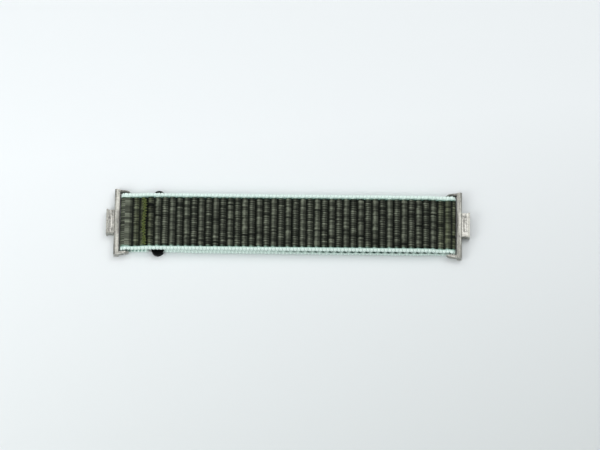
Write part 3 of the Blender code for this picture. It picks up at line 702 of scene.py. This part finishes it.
def make_filament_group():
    """Fine streaks along the run of the yarn, as one value that is also their height."""
    group, given, result = new_group(
        "yarn_filaments", {"Across": NUMBER, "Along": NUMBER}, {"Value": NUMBER, "Height": NUMBER})
    run = add_math(group, "MULTIPLY", add_attribute(group, "run"), given["Along"])
    width = add_math(group, "MULTIPLY", add_attribute(group, "width"), given["Across"])
    place = add_node(group, "CombineXYZ", {0: run, 1: width})
    streaks = add_noise(group, place, 1.0, FILAMENT_DETAIL)
    feed(group, result, {"Value": streaks, "Height": streaks})
    return group


YARN_TONE_AND_SHADE = make_tone_and_shade_group()
FILAMENTS = make_filament_group()
print("groups", YARN_TONE_AND_SHADE.name, FILAMENTS.name)

# %% Colour the cloth and paint its shade
OLIVE_DYE = linear(96, 106, 48)
TEAL_FRINGE = linear(92, 126, 110)
OLIVE_STRENGTH = 0.8
STREAK_SPREAD, STREAK_LEAST = 0.9, 0.55
FILAMENT_RELIEF = 0.03 * MM


def new_material(name, finish, *measures):
    """A material whose shader takes the values that its kind of finish gives back."""
    material = bpy.data.materials.new(name)
    material.use_nodes = True
    tree = material.node_tree
    feed(tree, tree.nodes["Principled BSDF"].inputs, finish(tree, *measures))
    return material


def place_group(tree, group, values):
    return add_node(tree, "Group", values, node_tree=group).node.outputs


def add_relief(tree, height, bump, distance):
    return add_node(tree, "Bump", {"Height": height, "Strength": bump, "Distance": distance})


def cloth_finish(tree, deep, top, spread, across, along, roughness, bump, ribbed=False):
    colour = place_group(tree, YARN_TONE_AND_SHADE, {"Deep": deep, "Top": top, "Spread": spread})["Colour"]
    filaments = place_group(tree, FILAMENTS, {"Across": across, "Along": along})
    if ribbed:
        lift = add_attribute(tree, "lift")
        olive = add_math(tree, "MULTIPLY", add_attribute(tree, "tint"), lift)
        colour = add_mix(tree, add_math(tree, "MULTIPLY", olive, OLIVE_STRENGTH), colour, OLIVE_DYE)
        fringe = add_math(tree, "MULTIPLY", add_attribute(tree, "fringe"), lift)
        colour = add_mix(tree, fringe, colour, TEAL_FRINGE)
    streak = add_math(tree, "MULTIPLY_ADD", filaments["Value"], STREAK_SPREAD, STREAK_LEAST)
    return {
        "Base Color": add_scaled(tree, colour, streak), "Roughness": roughness,
        "Specular IOR Level": 0.14, "Sheen Weight": 0.03, "Sheen Roughness": 0.4,
        "Normal": add_relief(tree, filaments["Height"], bump, FILAMENT_RELIEF),
    }


# Painted shade down in the weave and colour on top, spread, filaments across and along,
# roughness and bump.
WEBBING = new_material("ribbed_nylon", cloth_finish, linear(2, 8, 3), linear(106, 112, 98),
                       0.75, 9000.0, 900.0, 0.6, 0.5, True)
SELVEDGE = new_material("mint_selvedge", cloth_finish, linear(96, 146, 130),
                        linear(238, 255, 249), 0.1, 7000.0, 7000.0, 0.75, 0.4)
PILE = new_material("loop_pile", cloth_finish, linear(22, 28, 22), linear(92, 99, 86),
                    0.4, 6000.0, 6000.0, 0.95, 0.8)
print("cloth materials", WEBBING.name, SELVEDGE.name, PILE.name)

# %% Weave the whole strap
CUT_RIBS = (10, 18, 23, 28, 32, 37)
CUTS_X = [(k - UPPER_RIBS / 2) * RIB_PITCH for k in CUT_RIBS]
FLAP_START_X = (14 - UPPER_RIBS / 2) * RIB_PITCH


def upper_length(x):
    return x + PIN_X + UPPER_START


def tail_length(x):
    return PIN_X - x + TAIL_START


def hang_cloth(name, start, end, replaced):
    """Weaves a piece, gives it the cloth's materials and hides the solids it replaces."""
    piece = weave_piece(name, start, end)
    for material in (WEBBING, SELVEDGE, PILE):
        piece.data.materials.append(material)
    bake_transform(piece)
    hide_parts(*replaced)
    print(name, len(piece.data.polygons), "faces")


def hang_all():
    upper_ends = [0.0] + [upper_length(x) for x in CUTS_X] + [tail_length(CUTS_X[-1])]
    for k, (start, end) in enumerate(zip(upper_ends, upper_ends[1:]), 1):
        replaced = ["band_7", "band_8"] if k == 7 else [f"band_{k}"]
        hang_cloth(f"webbing_upper_{k}", start, end,
                   replaced)
    tail_ends = [tail_length(x) for x in CUTS_X[::-1][:5]] + [tail_length(FLAP_START_X)]
    for k, (start, end) in zip((6, 5, 4, 3, 2), zip(tail_ends, tail_ends[1:])):
        hang_cloth(f"webbing_tail_{k}", start, end,
                   [f"tail_{k + 1}"])
    hang_cloth("webbing_flap", tail_ends[-1], TIP_END,
               ["tail_2", "tail_flap"])


hang_all()

# %% [markdown]
# ## The olive seam
#
# The folded end is held by a dense zigzag in olive thread. A curve with a round bevel is the
# easiest thread: its points swing from side to side and sink into the cloth where the needle went
# through.

# %% Sew the seam
# Each row of stitches: thread radius, swing to each side, number of zigzags and lift of the thread.
SEAM_ROWS = ((0.15 * MM, 0.48 * MM, 13, 0.06 * MM), (0.12 * MM, 0.75 * MM, 17, -0.06 * MM))
SEAM_SHIFT = 0.45 * MM
SEAM_MARGIN = 0.35 * MM
SWING_SPREAD = 0.16
SEAM_DRIFT = 0.2 * MM
SEAM_DRIFT_TURN = 0.55
DIVE_DEPTH = 0.22 * MM
DIVE_START = 0.8
ZIG_STEPS = 8


def thread_finish(tree):
    twist = add_noise(tree, add_place(tree), 2500.0, 2.0)
    return {"Base Color": add_mix(tree, twist, linear(36, 48, 12), linear(110, 126, 52)),
            "Roughness": 0.55}


def add_stitches(curve, radius, swing, zigzags, raised):
    count = zigzags * ZIG_STEPS
    spline = curve.splines.new("POLY")
    spline.points.add(count)
    reaches = swing * (1 + chance.normal(0, SWING_SPREAD, zigzags + 2))
    zigzag_numbers = np.arange(zigzags + 2)
    drift = SEAM_DRIFT * np.sin(zigzag_numbers * SEAM_DRIFT_TURN + 1.0)
    for i, point in enumerate(spline.points):
        phase = i / ZIG_STEPS
        swing_share = 1 - 4 * abs((phase + 0.25) % 1 - 0.5)
        middle = SEAM_X + SEAM_SHIFT + float(np.interp(phase, zigzag_numbers, drift))
        x = middle + reaches[int(phase)] * math.copysign(abs(swing_share) ** 0.9, swing_share)
        y = (FIELD_HALF - SEAM_MARGIN) * (2 * i / count - 1)
        length = np.array([upper_length(x)])
        dip = SEAM_DIP * float(seam_pull(length)[0])
        dive = DIVE_DEPTH * float(smooth((abs(swing_share) - DIVE_START) / (1 - DIVE_START)))
        offset = HALF - dip - dive + radius + raised
        place_x, place_z = strip_points(length, np.array([[offset]]))
        point.co = (place_x[0, 0], y, place_z[0, 0], 1)
        point.radius = radius / MM


def sew_seam():
    curve = bpy.data.curves.new("olive_seam", "CURVE")
    curve.dimensions = "3D"
    curve.bevel_depth = 1.0 * MM
    curve.bevel_resolution = 2
    curve.use_fill_caps = True
    for row in SEAM_ROWS:
        add_stitches(curve, *row)
    seam = new_object("olive_seam", curve)
    seam.data.materials.append(new_material("olive_thread", thread_finish))
    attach(seam, "section_1")
    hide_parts("end_seam")
    print(seam.name, sum(len(spline.points) for spline in curve.splines), "points")


sew_seam()

# %% [markdown]
# ## The metal finish
#
# The connectors are cast steel with a satin finish. Seen close, such metal is not one grey: it has
# fine grain, longer rubbing marks and brighter edges where the finish has worn. One shared group
# makes these three and gives a tone, a roughness and a height, and every metal here uses it at its
# own scale.

# %% Make the worn metal group
RUBBING_STRETCH = (1.0, 0.06, 1.0)
GRAIN_DETAIL, RUBBING_DETAIL = 4.0, 2.0
WEAR_RADIUS, WEAR_GROWTH, WEAR_MOST = 0.12 * MM, 5.0, 0.5
TONE_SPREAD, TONE_START = 1.6, -1.1


def worn_edges(group):
    """Grows where the rounded normal departs from the true one, which is along sharp edges."""
    rounded = add_node(group, "Bevel", {"Radius": WEAR_RADIUS}, samples=4)
    flat = add_node(group, "NewGeometry", {}, "Normal")
    facing = add_node(group, "VectorMath", {0: rounded, 1: flat}, "Value", operation="DOT_PRODUCT")
    edge = add_math(group, "MULTIPLY", add_math(group, "SUBTRACT", 1.0, facing), WEAR_GROWTH)
    return add_math(group, "MINIMUM", edge, WEAR_MOST)


def make_metal_group():
    group, given, result = new_group(
        "worn_metal", {"Grain": NUMBER, "Rubbing": NUMBER, "Matt": NUMBER},
        {"Tone": NUMBER, "Roughness": NUMBER, "Height": NUMBER})
    place = add_place(group)
    stretched = add_node(group, "VectorMath", {0: place, 1: RUBBING_STRETCH}, operation="MULTIPLY")
    marks = add_math(group, "ADD", add_noise(group, place, given["Grain"], GRAIN_DETAIL),
                     add_noise(group, stretched, given["Rubbing"], RUBBING_DETAIL))
    worn = worn_edges(group)
    spread = add_math(group, "MULTIPLY_ADD", marks, TONE_SPREAD, TONE_START)
    matt = add_math(group, "SUBTRACT", marks, worn)
    feed(group, result, {
        "Tone": add_math(group, "ADD", spread, worn),
        "Roughness": add_math(group, "MULTIPLY", matt, given["Matt"]),
        "Height": marks,
    })
    return group


WORN_METAL = make_metal_group()
print("group", WORN_METAL.name)

# %% Make the metals
FINISH_RELIEF = 0.02 * MM


def metal_finish(tree, dark, light, grain, rubbing, matt, bump):
    worn = place_group(tree, WORN_METAL, {"Grain": grain, "Rubbing": rubbing, "Matt": matt})
    tone = add_math(tree, "MINIMUM", add_math(tree, "MAXIMUM", worn["Tone"], 0.0), 1.0)
    return {"Base Color": add_mix(tree, tone, dark, light), "Metallic": 1.0,
            "Roughness": worn["Roughness"],
            "Normal": add_relief(tree, worn["Height"], bump, FINISH_RELIEF)}


# Dark and light tone, then the scales of grain and rubbing, the roughness and the bump.
SATIN_STEEL = new_material("satin_steel", metal_finish, linear(122, 122, 116),
                           linear(198, 198, 190), 1500.0, 2600.0, 0.4, 0.25)
CAST_FACE = new_material("cast_face", metal_finish, linear(80, 80, 76), linear(216, 215, 208),
                         1100.0, 1900.0, 0.36, 0.6)
TURNED_STEEL = new_material("turned_steel", metal_finish, linear(140, 140, 138),
                            linear(225, 225, 222), 3000.0, 5000.0, 0.25, 0.3)
SPRING_WIRE = new_material("spring_wire", metal_finish, linear(110, 108, 104),
                           linear(190, 188, 182), 4000.0, 5000.0, 0.35, 0.3)
print("metals", SATIN_STEEL.name, CAST_FACE.name, TURNED_STEEL.name, SPRING_WIRE.name)

# %% [markdown]
# ## The connector frame
#
# Each frame is one casting: a crossbar with a long bright facet that is widest in the middle, two
# ears that hold the pin, and a tongue with a lip that slides into the watch case. It is put
# together as a caster's pattern is: simple shapes are joined, the joined edges are rounded, and
# only then are the catch pocket and the screw's holes cut, so that their rims stay crisp. The
# measures run outwards from the pin (u), along the pin (v) and upwards (w).

# %% Measure a connector
BAR_GAP = 0.3 * MM
BAR_DEPTH = 1.8 * MM
BAR_HEIGHT = 3.6 * MM
BAR_CROWN_DROP = 0.4 * MM
BAR_SHOULDER_DROP = 0.36 * MM
BAR_CUTS = 12
EAR_SIDE_GAP = 0.35 * MM
EAR_TIP_THICKNESS = 0.55 * MM
EAR_ROOT_THICKNESS = 0.9 * MM
EAR_SPLAY = 0.25 * MM
EAR_REACH = 1.9 * MM
EAR_HEIGHT = 2.6 * MM
EAR_OUTER_SHARE = 0.72
EAR_SIDES = 40
TONGUE_LENGTH = 2.9 * MM
TONGUE_WIDTH = 9.0 * MM
TONGUE_HEIGHT = 2.6 * MM
LIP_THICKNESS = 0.6 * MM
LIP_WIDTH = 9.4 * MM
LIP_HEIGHT = 3.0 * MM
FACET_HALF_MIDDLE = 0.5 * MM
FACET_HALF_END = 0.08 * MM
FRAME_EDGE = 0.14 * MM
BAR_INNER = PIN_Z + BAR_GAP
BAR_OUTER = BAR_INNER + BAR_DEPTH
BAR_MIDDLE = BAR_INNER + BAR_DEPTH / 2
BAR_RIDGE = BAR_INNER + 0.6 * BAR_DEPTH
BAR_HALF_LENGTH = BAND_WIDTH / 2 + EAR_SIDE_GAP + EAR_ROOT_THICKNESS + EAR_SPLAY
TONGUE_END = BAR_OUTER + TONGUE_LENGTH
LIP_START = TONGUE_END - LIP_THICKNESS


def ear_faces(u):
    """Distances of an ear's inner and outer face from the middle, at u."""
    share = (u + EAR_REACH) / (BAR_OUTER + EAR_REACH)
    tip_inner = BAND_WIDTH / 2 + EAR_SIDE_GAP
    inner = tip_inner + (BAR_HALF_LENGTH - EAR_ROOT_THICKNESS - tip_inner) * share
    tip_outer = tip_inner + EAR_TIP_THICKNESS
    return inner, tip_outer + (BAR_HALF_LENGTH - tip_outer) * share


print("connector reaches", round(TONGUE_END / MM, 2), "mm past its pin")

# %% Shape the crossbar, an ear and the tongue
TURNED_STEPS = 32


def box_mesh(u, half_v, w):
    low, high = Vector((u[0], -half_v, w[0])), Vector((u[1], half_v, w[1]))
    bm = bmesh.new()
    stretched = Matrix.Translation((low + high) / 2) @ Matrix.Diagonal((high - low).to_4d())
    bmesh.ops.create_cube(bm, size=1.0, matrix=stretched)
    return bm


def cut_across(bm, place, normal):
    whole = bm.verts[:] + bm.edges[:] + bm.faces[:]
    bmesh.ops.bisect_plane(bm, geom=whole, plane_co=place, plane_no=normal)


def bar_shape():
    half = BAR_HEIGHT / 2
    bm = box_mesh((BAR_INNER, BAR_OUTER), BAR_HALF_LENGTH, (-half, half))
    for i in range(1, BAR_CUTS):
        cut_across(bm, (0, BAR_HALF_LENGTH * (2 * i / BAR_CUTS - 1), 0), (0, 1, 0))
    for side in (-1, 1):
        cut_across(bm, (BAR_RIDGE + side * FACET_HALF_END, 0, 0), (1, 0, 0))
    for vert in bm.verts:
        if vert.co.z < 0:
            continue
        along = vert.co.y / BAR_HALF_LENGTH
        top = half - BAR_CROWN_DROP * along * along
        side = vert.co.x - BAR_RIDGE
        if abs(side) > 1.5 * FACET_HALF_END:
            vert.co.z = top - BAR_SHOULDER_DROP
        else:
            widening = (FACET_HALF_MIDDLE - FACET_HALF_END) * (1 - along * along)
            vert.co.x = BAR_RIDGE + math.copysign(FACET_HALF_END + widening, side)
            vert.co.z = top
    return bm


def ear_shape(side):
    """A round disc, smaller outside than inside, drawn out to the crossbar with splayed faces."""
    bm = bmesh.new()
    bmesh.ops.create_cone(bm, cap_ends=True, segments=EAR_SIDES, radius1=1.0, radius2=1.0,
                          depth=1.0, matrix=Matrix.Rotation(math.pi / 2, 4, "X"))
    for vert in bm.verts:
        on_outer = vert.co.y > 0
        narrowed = EAR_OUTER_SHARE if on_outer else 1.0
        u = EAR_REACH * narrowed * vert.co.x if vert.co.x < 0.01 else BAR_MIDDLE
        inner, outer = ear_faces(u)
        v = side * (outer if on_outer else inner)
        vert.co = (u, v, EAR_HEIGHT / 2 * narrowed * vert.co.z)
    return bm


def finished_mesh(name, bm):
    bmesh.ops.recalc_face_normals(bm, faces=bm.faces)
    return bmesh_to_mesh(bm, bpy.data.meshes.new(name))


def turned_shape(points):
    """Turns (radius, v) points about the pin."""
    bm = bmesh.new()
    verts = [bm.verts.new((radius, v, 0)) for radius, v in points]
    edges = [bm.edges.new(pair) for pair in zip(verts, verts[1:])]
    bmesh.ops.spin(bm, geom=verts + edges, cent=(0, 0, 0), axis=(0, 1, 0), angle=math.tau,
                   steps=TURNED_STEPS, use_merge=True)
    bmesh.ops.remove_doubles(bm, verts=bm.verts, dist=MERGE_REACH)
    return bm


print("crossbar", round(2 * BAR_HALF_LENGTH / MM, 2), "mm long")

# %% Join, round and cut a frame
POCKET_MIDDLE = (BAR_OUTER + LIP_START) / 2
POCKET_HALF_U = 0.95 * MM
POCKET_HALF_V = 3.15 * MM
POCKET_FLOOR = -0.9 * MM
HOLE_RADIUS = 0.37 * MM
SEAT_RADIUS = 0.82 * MM
SEAT_BELOW_FACE = 0.46 * MM
END_HOLE_DEPTH = 0.52 * MM
CUT_OVERRUN = 1.0 * MM
EDGE_SEGMENTS = 3


def frame_cuts():
    """The catch pocket, the screw's hole and seat in one ear, and its end hole in the other."""
    inner, outer = ear_faces(0)
    seat, past = outer - SEAT_BELOW_FACE, outer + CUT_OVERRUN
    end = -inner - END_HOLE_DEPTH
    return (
        box_mesh((POCKET_MIDDLE - POCKET_HALF_U, POCKET_MIDDLE + POCKET_HALF_U),
                 POCKET_HALF_V, (POCKET_FLOOR, TONGUE_HEIGHT)),
        turned_shape([(0, 0), (HOLE_RADIUS, 0), (HOLE_RADIUS, seat), (SEAT_RADIUS, seat),
                      (SEAT_RADIUS, past), (0, past)]),
        turned_shape([(0, 0), (HOLE_RADIUS, 0), (HOLE_RADIUS, end), (0, end)]),
    )


def combined(mesh, changes, bevel=0.0):
    """A mesh after boolean changes, with its sharp edges rounded at the end if bevel is given."""
    holder = new_object("pattern", mesh)
    others = []
    for operation, bm in changes:
        other = new_object("pattern_part", finished_mesh("pattern_part", bm))
        others.append(other)
        change = holder.modifiers.new("change", "BOOLEAN")
        change.operation, change.object, change.solver = operation, other, "EXACT"
    if bevel:
        change = holder.modifiers.new("edges", "BEVEL")
        change.width, change.segments, change.limit_method = bevel, EDGE_SEGMENTS, "ANGLE"
    depsgraph = bpy.context.evaluated_depsgraph_get()
    result = bpy.data.meshes.new_from_object(holder.evaluated_get(depsgraph))
    for leftover in [holder, *others]:
        bpy.data.objects.remove(leftover)
    return result


def frame_mesh():
    tongue = box_mesh((BAR_MIDDLE, LIP_START + LIP_THICKNESS / 2), TONGUE_WIDTH / 2,
                      (-TONGUE_HEIGHT / 2, TONGUE_HEIGHT / 2))
    lip = box_mesh((LIP_START, TONGUE_END), LIP_WIDTH / 2, (-LIP_HEIGHT / 2, LIP_HEIGHT / 2))
    joined = [("UNION", shape) for shape in (ear_shape(1), ear_shape(-1), tongue, lip)]
    casting = combined(finished_mesh("casting", bar_shape()), joined, bevel=FRAME_EDGE)
    return combined(casting, [("DIFFERENCE", bm) for bm in frame_cuts()])


print("catch pocket", round(2 * POCKET_HALF_V / MM, 2), "mm wide")

# %% Cast both frames
SHARP_ANGLE = math.radians(50)


def set_on_pin(mesh, side):
    """Moves a shape from the pin's own measures to its place on the strap."""
    turn = Matrix.Rotation(0 if side > 0 else math.pi, 4, "Z")
    mesh.transform(Matrix.Translation((side * PIN_X, 0, PIN_Z)) @ turn)
    return mesh


def add_finished(name, mesh, body, material, replaced):
    """Adds a piece with smooth faces and crisp edges, for one material, and sets it on its body."""
    mesh.materials.clear()
    mesh.materials.append(material)
    bm = bmesh.new()
    bm.from_mesh(mesh)
    bmesh.ops.remove_doubles(bm, verts=bm.verts, dist=MERGE_REACH)
    bmesh.ops.recalc_face_normals(bm, faces=bm.faces)
    for face in bm.faces:
        face.smooth = True
        face.material_index = 0
    for edge in bm.edges:
        edge.smooth = len(edge.link_faces) == 2 and edge.calc_face_angle() < SHARP_ANGLE
    piece = new_object(name, bmesh_to_mesh(bm, mesh))
    piece.modifiers.new("flat_faces", "WEIGHTED_NORMAL").keep_sharp = True
    if body:
        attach(piece, body)
    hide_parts(replaced)
    print(name, len(mesh.polygons), "faces")
    return piece


for side_name, side in (("left", -1), ("right", 1)):
    add_finished(f"{side_name}_casting", set_on_pin(frame_mesh(), side), f"{side_name}_connector",
                 SATIN_STEEL, f"{side_name}_frame")

# %% [markdown]
# ## The small metal parts
#
# The cover plate, the catch, the pin's sleeve and screw and the catch's spring already have their
# right shapes in the solids. A copy of each is merged into whole faces, gets smooth round sides
# with crisp rims, and takes its own metal. The catch button fills its window better than the bare
# solid does, and its worn dome is lower.

# %% Finish the small metal parts
BUTTON_FILL = (1.17, 1.04, 1.0)
DOME_SHARE = 0.45
FLAT_ANGLE = math.radians(1)


def merged_copy(node):
    """A bmesh of a solid's mesh with its loose triangles merged into whole faces."""
    bm = bmesh.new()
    bm.from_mesh(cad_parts[node].data)
    bmesh.ops.remove_doubles(bm, verts=bm.verts, dist=MERGE_REACH)
    bmesh.ops.dissolve_limit(bm, angle_limit=FLAT_ANGLE, verts=bm.verts, edges=bm.edges)
    return bm


def fit_button(bm, node, plate):
    low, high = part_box(node)
    centred = Matrix.Translation(-(low + high) / 2)
    bmesh.ops.scale(bm, verts=bm.verts, vec=BUTTON_FILL, space=centred)
    plate_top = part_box(plate)[1].z
    for vert in bm.verts:
        if vert.co.z > plate_top:
            vert.co.z = plate_top + DOME_SHARE * (vert.co.z - plate_top)


def smooth_copy(node, name, body, material):
    mesh = finished_mesh(name, merged_copy(node))
    return add_finished(name, mesh, body, material, node)


def add_coil(side):
    """The catch's spring, finished as a smooth coil that stays where it stands."""
    node = f"{side}_catch_spring"
    coil = smooth_copy(node, f"{side}_coil", None, SPRING_WIRE)
    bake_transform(coil)


for side in ("left", "right"):
    for node, name, metal in (("pin_sleeve", "turned_sleeve", TURNED_STEEL),
                              ("pin_screw", "slotted_screw", TURNED_STEEL),
                              ("cover_plate", "window_plate", CAST_FACE)):
        smooth_copy(f"{side}_{node}", f"{side}_{name}", f"{side}_connector", metal)
    add_coil(side)
    button = merged_copy(f"{side}_catch")
    fit_button(button, f"{side}_catch", f"{side}_cover_plate")
    add_finished(f"{side}_button", finished_mesh(f"{side}_button", button),
                 f"{side}_catch_button", CAST_FACE, f"{side}_catch")

# %% [markdown]
# ## The moulded stop
#
# The black stop is moulded nylon: softly rounded, a little matt and never quite even, with a fine
# raised line where the two halves of the mould met. Two cuts beside the middle plane leave a narrow
# band there, and pushing the band's middle outwards makes the line.

# %% Mould the end stop
PARTING_WIDTH = 0.05 * MM
PARTING_RISE = 0.035 * MM
MOTTLE_DETAIL = 4.0


def mottled_finish(tree, dark, light, grain, roughness, matt, bump, shine):
    """A non-metal finish whose colour, roughness and height all follow one fine noise."""
    mottle = add_noise(tree, add_place(tree), grain, MOTTLE_DETAIL)
    return {"Base Color": add_mix(tree, mottle, dark, light), "Specular IOR Level": shine,
            "Roughness": add_math(tree, "MULTIPLY_ADD", mottle, matt, roughness),
            "Normal": add_relief(tree, mottle, bump, FINISH_RELIEF)}


def mould_stop():
    bm = merged_copy("end_stop")
    low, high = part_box("end_stop")
    middle = (low + high) / 2
    for height in (-PARTING_WIDTH, 0, PARTING_WIDTH):
        cut_across(bm, middle + Vector((0, 0, height)), (0, 0, 1))
    bm.normal_update()
    ridge = [vert for vert in bm.verts if abs(vert.co.z - middle.z) < MERGE_REACH
             and vert.normal.dot(vert.co - middle) > 0]
    for vert in ridge:
        vert.co += PARTING_RISE * vert.normal
    print("parting line", len(ridge), "points")
    black = new_material("black_nylon", mottled_finish, linear(1, 1, 2), linear(6, 8, 9),
                         1800.0, 0.3, 0.3, 0.25, 0.05)
    add_finished("moulded_stop", finished_mesh("moulded_stop", bm), "tail_tip", black,
                 "end_stop")


mould_stop()

# %% [markdown]
# ## The hook patch
#
# The patch is a thin backing with rows of small bent hooks that catch in the webbing's pile. There
# are some hundreds of them, so one hook has only a few faces, and it is copied in rows with a
# little unevenness from hook to hook.

# %% Bend one hook
HOOK_STEM = 0.09 * MM
HOOK_DEPTH = 1.4
HOOK_STAND = 0.42 * MM
HOOK_TURN = math.radians(150)
HOOK_STRAIGHT = 0.4
HOOK_WIDEN = 1.9
HOOK_CUTS = 4


def add_hook(bm):
    """One square stem that rises and bends over, standing at the origin."""
    standing = Matrix.Translation((0, 0, 0.5))
    made = bmesh.ops.create_cube(bm, size=1.0, matrix=standing)["verts"]
    edges = {edge for vert in made for edge in vert.link_edges
             if abs(edge.verts[0].co.z - edge.verts[1].co.z) > 0.5}
    bmesh.ops.subdivide_edges(bm, edges=list(edges), cuts=HOOK_CUTS)
    bent = 1 - HOOK_STRAIGHT
    radius = bent * HOOK_STAND / HOOK_TURN * HOOK_WIDEN
    for vert in bm.verts:
        side, along = HOOK_STEM * vert.co.x, max(vert.co.z - HOOK_STRAIGHT, 0) / bent
        angle = HOOK_TURN * along
        straight = HOOK_STAND * min(vert.co.z, HOOK_STRAIGHT)
        vert.co.y *= HOOK_DEPTH * HOOK_STEM
        vert.co.x = radius * (1 - math.cos(angle)) + side * math.cos(angle)
        vert.co.z = straight + radius * math.sin(angle) - side * math.sin(angle)


single = bmesh.new()
add_hook(single)
HOOK_REACH = max(vert.co.z for vert in single.verts)
hook = bmesh_to_mesh(single, bpy.data.meshes.new("hook"))
print("one hook", len(hook.polygons), "faces,", round(HOOK_REACH / MM, 2), "mm high")

# %% Set the hooks on their tape
HOOK_PITCH_X = 0.72 * MM
HOOK_PITCH_Y = 0.8 * MM
HOOK_PROUD = 0.06 * MM
HOOK_UNEVEN = 0.03 * MM
HOOK_SINK = 0.02 * MM
BACKING_SHARE = 0.4


def hook_field(low, high, base):
    """Rows of hooks that stand on a flat base, every second one bent the other way."""
    field = bmesh.new()
    rows = int((high.y - low.y - HOOK_PITCH_Y) / HOOK_PITCH_Y)
    columns = int((high.x - low.x - 2 * HOOK_PITCH_X) / HOOK_PITCH_X)
    height = (high.z + HOOK_PROUD - base) / HOOK_REACH
    for row in range(rows + 1):
        for column in range(columns + 1):
            x = low.x + HOOK_PITCH_X * (1 + column) + chance.normal(0, HOOK_UNEVEN)
            y = low.y + HOOK_PITCH_Y * (0.5 + row) + chance.normal(0, HOOK_UNEVEN)
            turn = Matrix.Rotation(math.pi * (column % 2), 4, "Z")
            copy = hook.copy()
            copy.transform(Matrix.Translation((x, y, base)) @ turn
                           @ Matrix.Diagonal((1, 1, height, 1)))
            field.from_mesh(copy)
            bpy.data.meshes.remove(copy)
    print("hooks", (rows + 1) * (columns + 1))
    return field


def make_hook_tape():
    low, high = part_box("hook_patch")
    bm = merged_copy("hook_patch")
    for vert in bm.verts:
        vert.co.z = low.z + BACKING_SHARE * (vert.co.z - low.z)
    backing = finished_mesh("backing", bm)
    field = hook_field(low, high, low.z + BACKING_SHARE * (high.z - low.z) - HOOK_SINK)
    field.from_mesh(backing)
    bpy.data.meshes.remove(backing)
    tape = new_material("hook_tape", mottled_finish, linear(34, 38, 33), linear(64, 70, 60),
                        2500.0, 0.4, 0.3, 0.4, 0.2)
    add_finished("hook_tape", finished_mesh("hook_tape", field), "tail_tip", tape,
                 "hook_patch")


make_hook_tape()
bpy.data.meshes.remove(hook)

# %% [markdown]
# ## The table
#
# The strap lies on smooth, pale paper. Its colour is painted greyer to the right and towards the
# viewer, a painted shade where the light falls off. One big face is enough for it, and a gradient
# on its own coordinates paints that shade, so the lamps can stay even.

# %% Lay the table
TABLE_SIZE = 1.5
TABLE_ACROSS, TABLE_NEARER, TABLE_START = 0.7, -5.5, 0.2


def shaded_table_finish(tree):
    place = add_node(tree, "SeparateXYZ", {0: add_place(tree)}).node.outputs
    # Painted shade: the table's colour darkens to the right and towards the viewer.
    across = add_math(tree, "MULTIPLY_ADD", place["X"], TABLE_ACROSS, TABLE_START)
    share = add_math(tree, "MULTIPLY_ADD", place["Y"], TABLE_NEARER, across)
    share.node.use_clamp = True
    return {"Base Color": add_mix(tree, share, linear(239, 244, 246), linear(206, 212, 212)),
            "Roughness": 0.8, "Specular IOR Level": 0.1}


def make_floor():
    bm = bmesh.new()
    bmesh.ops.create_grid(bm, x_segments=1, y_segments=1, size=TABLE_SIZE)
    floor = new_object("table", bmesh_to_mesh(bm, bpy.data.meshes.new("table")))
    floor.data.materials.append(new_material("pale_table", shaded_table_finish))
    print("table", 2 * TABLE_SIZE, "m wide")


make_floor()

# %% [markdown]
# ## The light
#
# The light in the photograph is soft. Most of it comes from behind the strap, and a little from the
# viewer's side glints on the metal. Area lamps make the soft shadows, and a grey world, brighter
# above than at its sides, fills them and shows in the metal.

# %% Light the room
ROOM_WALLS = 0.27
ROOM_RISE = 0.26
# Each lamp: name, place, aim, size in metres and power in watts.
LAMPS = (
    ("window", (-0.35, 0.42, 0.6), (0, 0, 0), 0.4, 0.75),
    ("ceiling", (0.36, 0.38, 0.85), (0, 0, 0), 0.7, 3.45),
    ("near_fill", (-0.3, -0.2, 0.28), (-0.07, 0, 0), 0.25, 0.7),
    ("near_glint", (0.0, -0.27, 0.45), (0, 0, 0), 0.12, 0.22),
)


def add_lamp(name, place, aim, size, watts):
    data = bpy.data.lights.new(name, "AREA")
    data.size = size
    data.energy = watts
    lamp = new_object(name, data)
    lamp.location = place
    lamp.rotation_euler = (Vector(aim) - Vector(place)).to_track_quat("-Z", "Y").to_euler()


def light_room():
    world = bpy.data.worlds.new("room")
    bpy.context.scene.world = world
    world.use_nodes = True
    tree = world.node_tree
    direction = add_node(tree, "TexCoord", {}, "Generated")
    upwards = add_node(tree, "SeparateXYZ", {0: direction}, "Z")
    strength = add_math(tree, "MULTIPLY_ADD", add_math(tree, "MAXIMUM", upwards, 0.0), ROOM_RISE,
                        ROOM_WALLS)
    feed(tree, tree.nodes["Background"].inputs, {"Color": (1, 1, 1, 1), "Strength": strength})


for lamp in LAMPS:
    add_lamp(*lamp)
light_room()
bpy.context.scene.view_settings.view_transform = "Standard"
print("lamps", len(LAMPS), "with", round(sum(watts for *_, watts in LAMPS), 2), "watts")
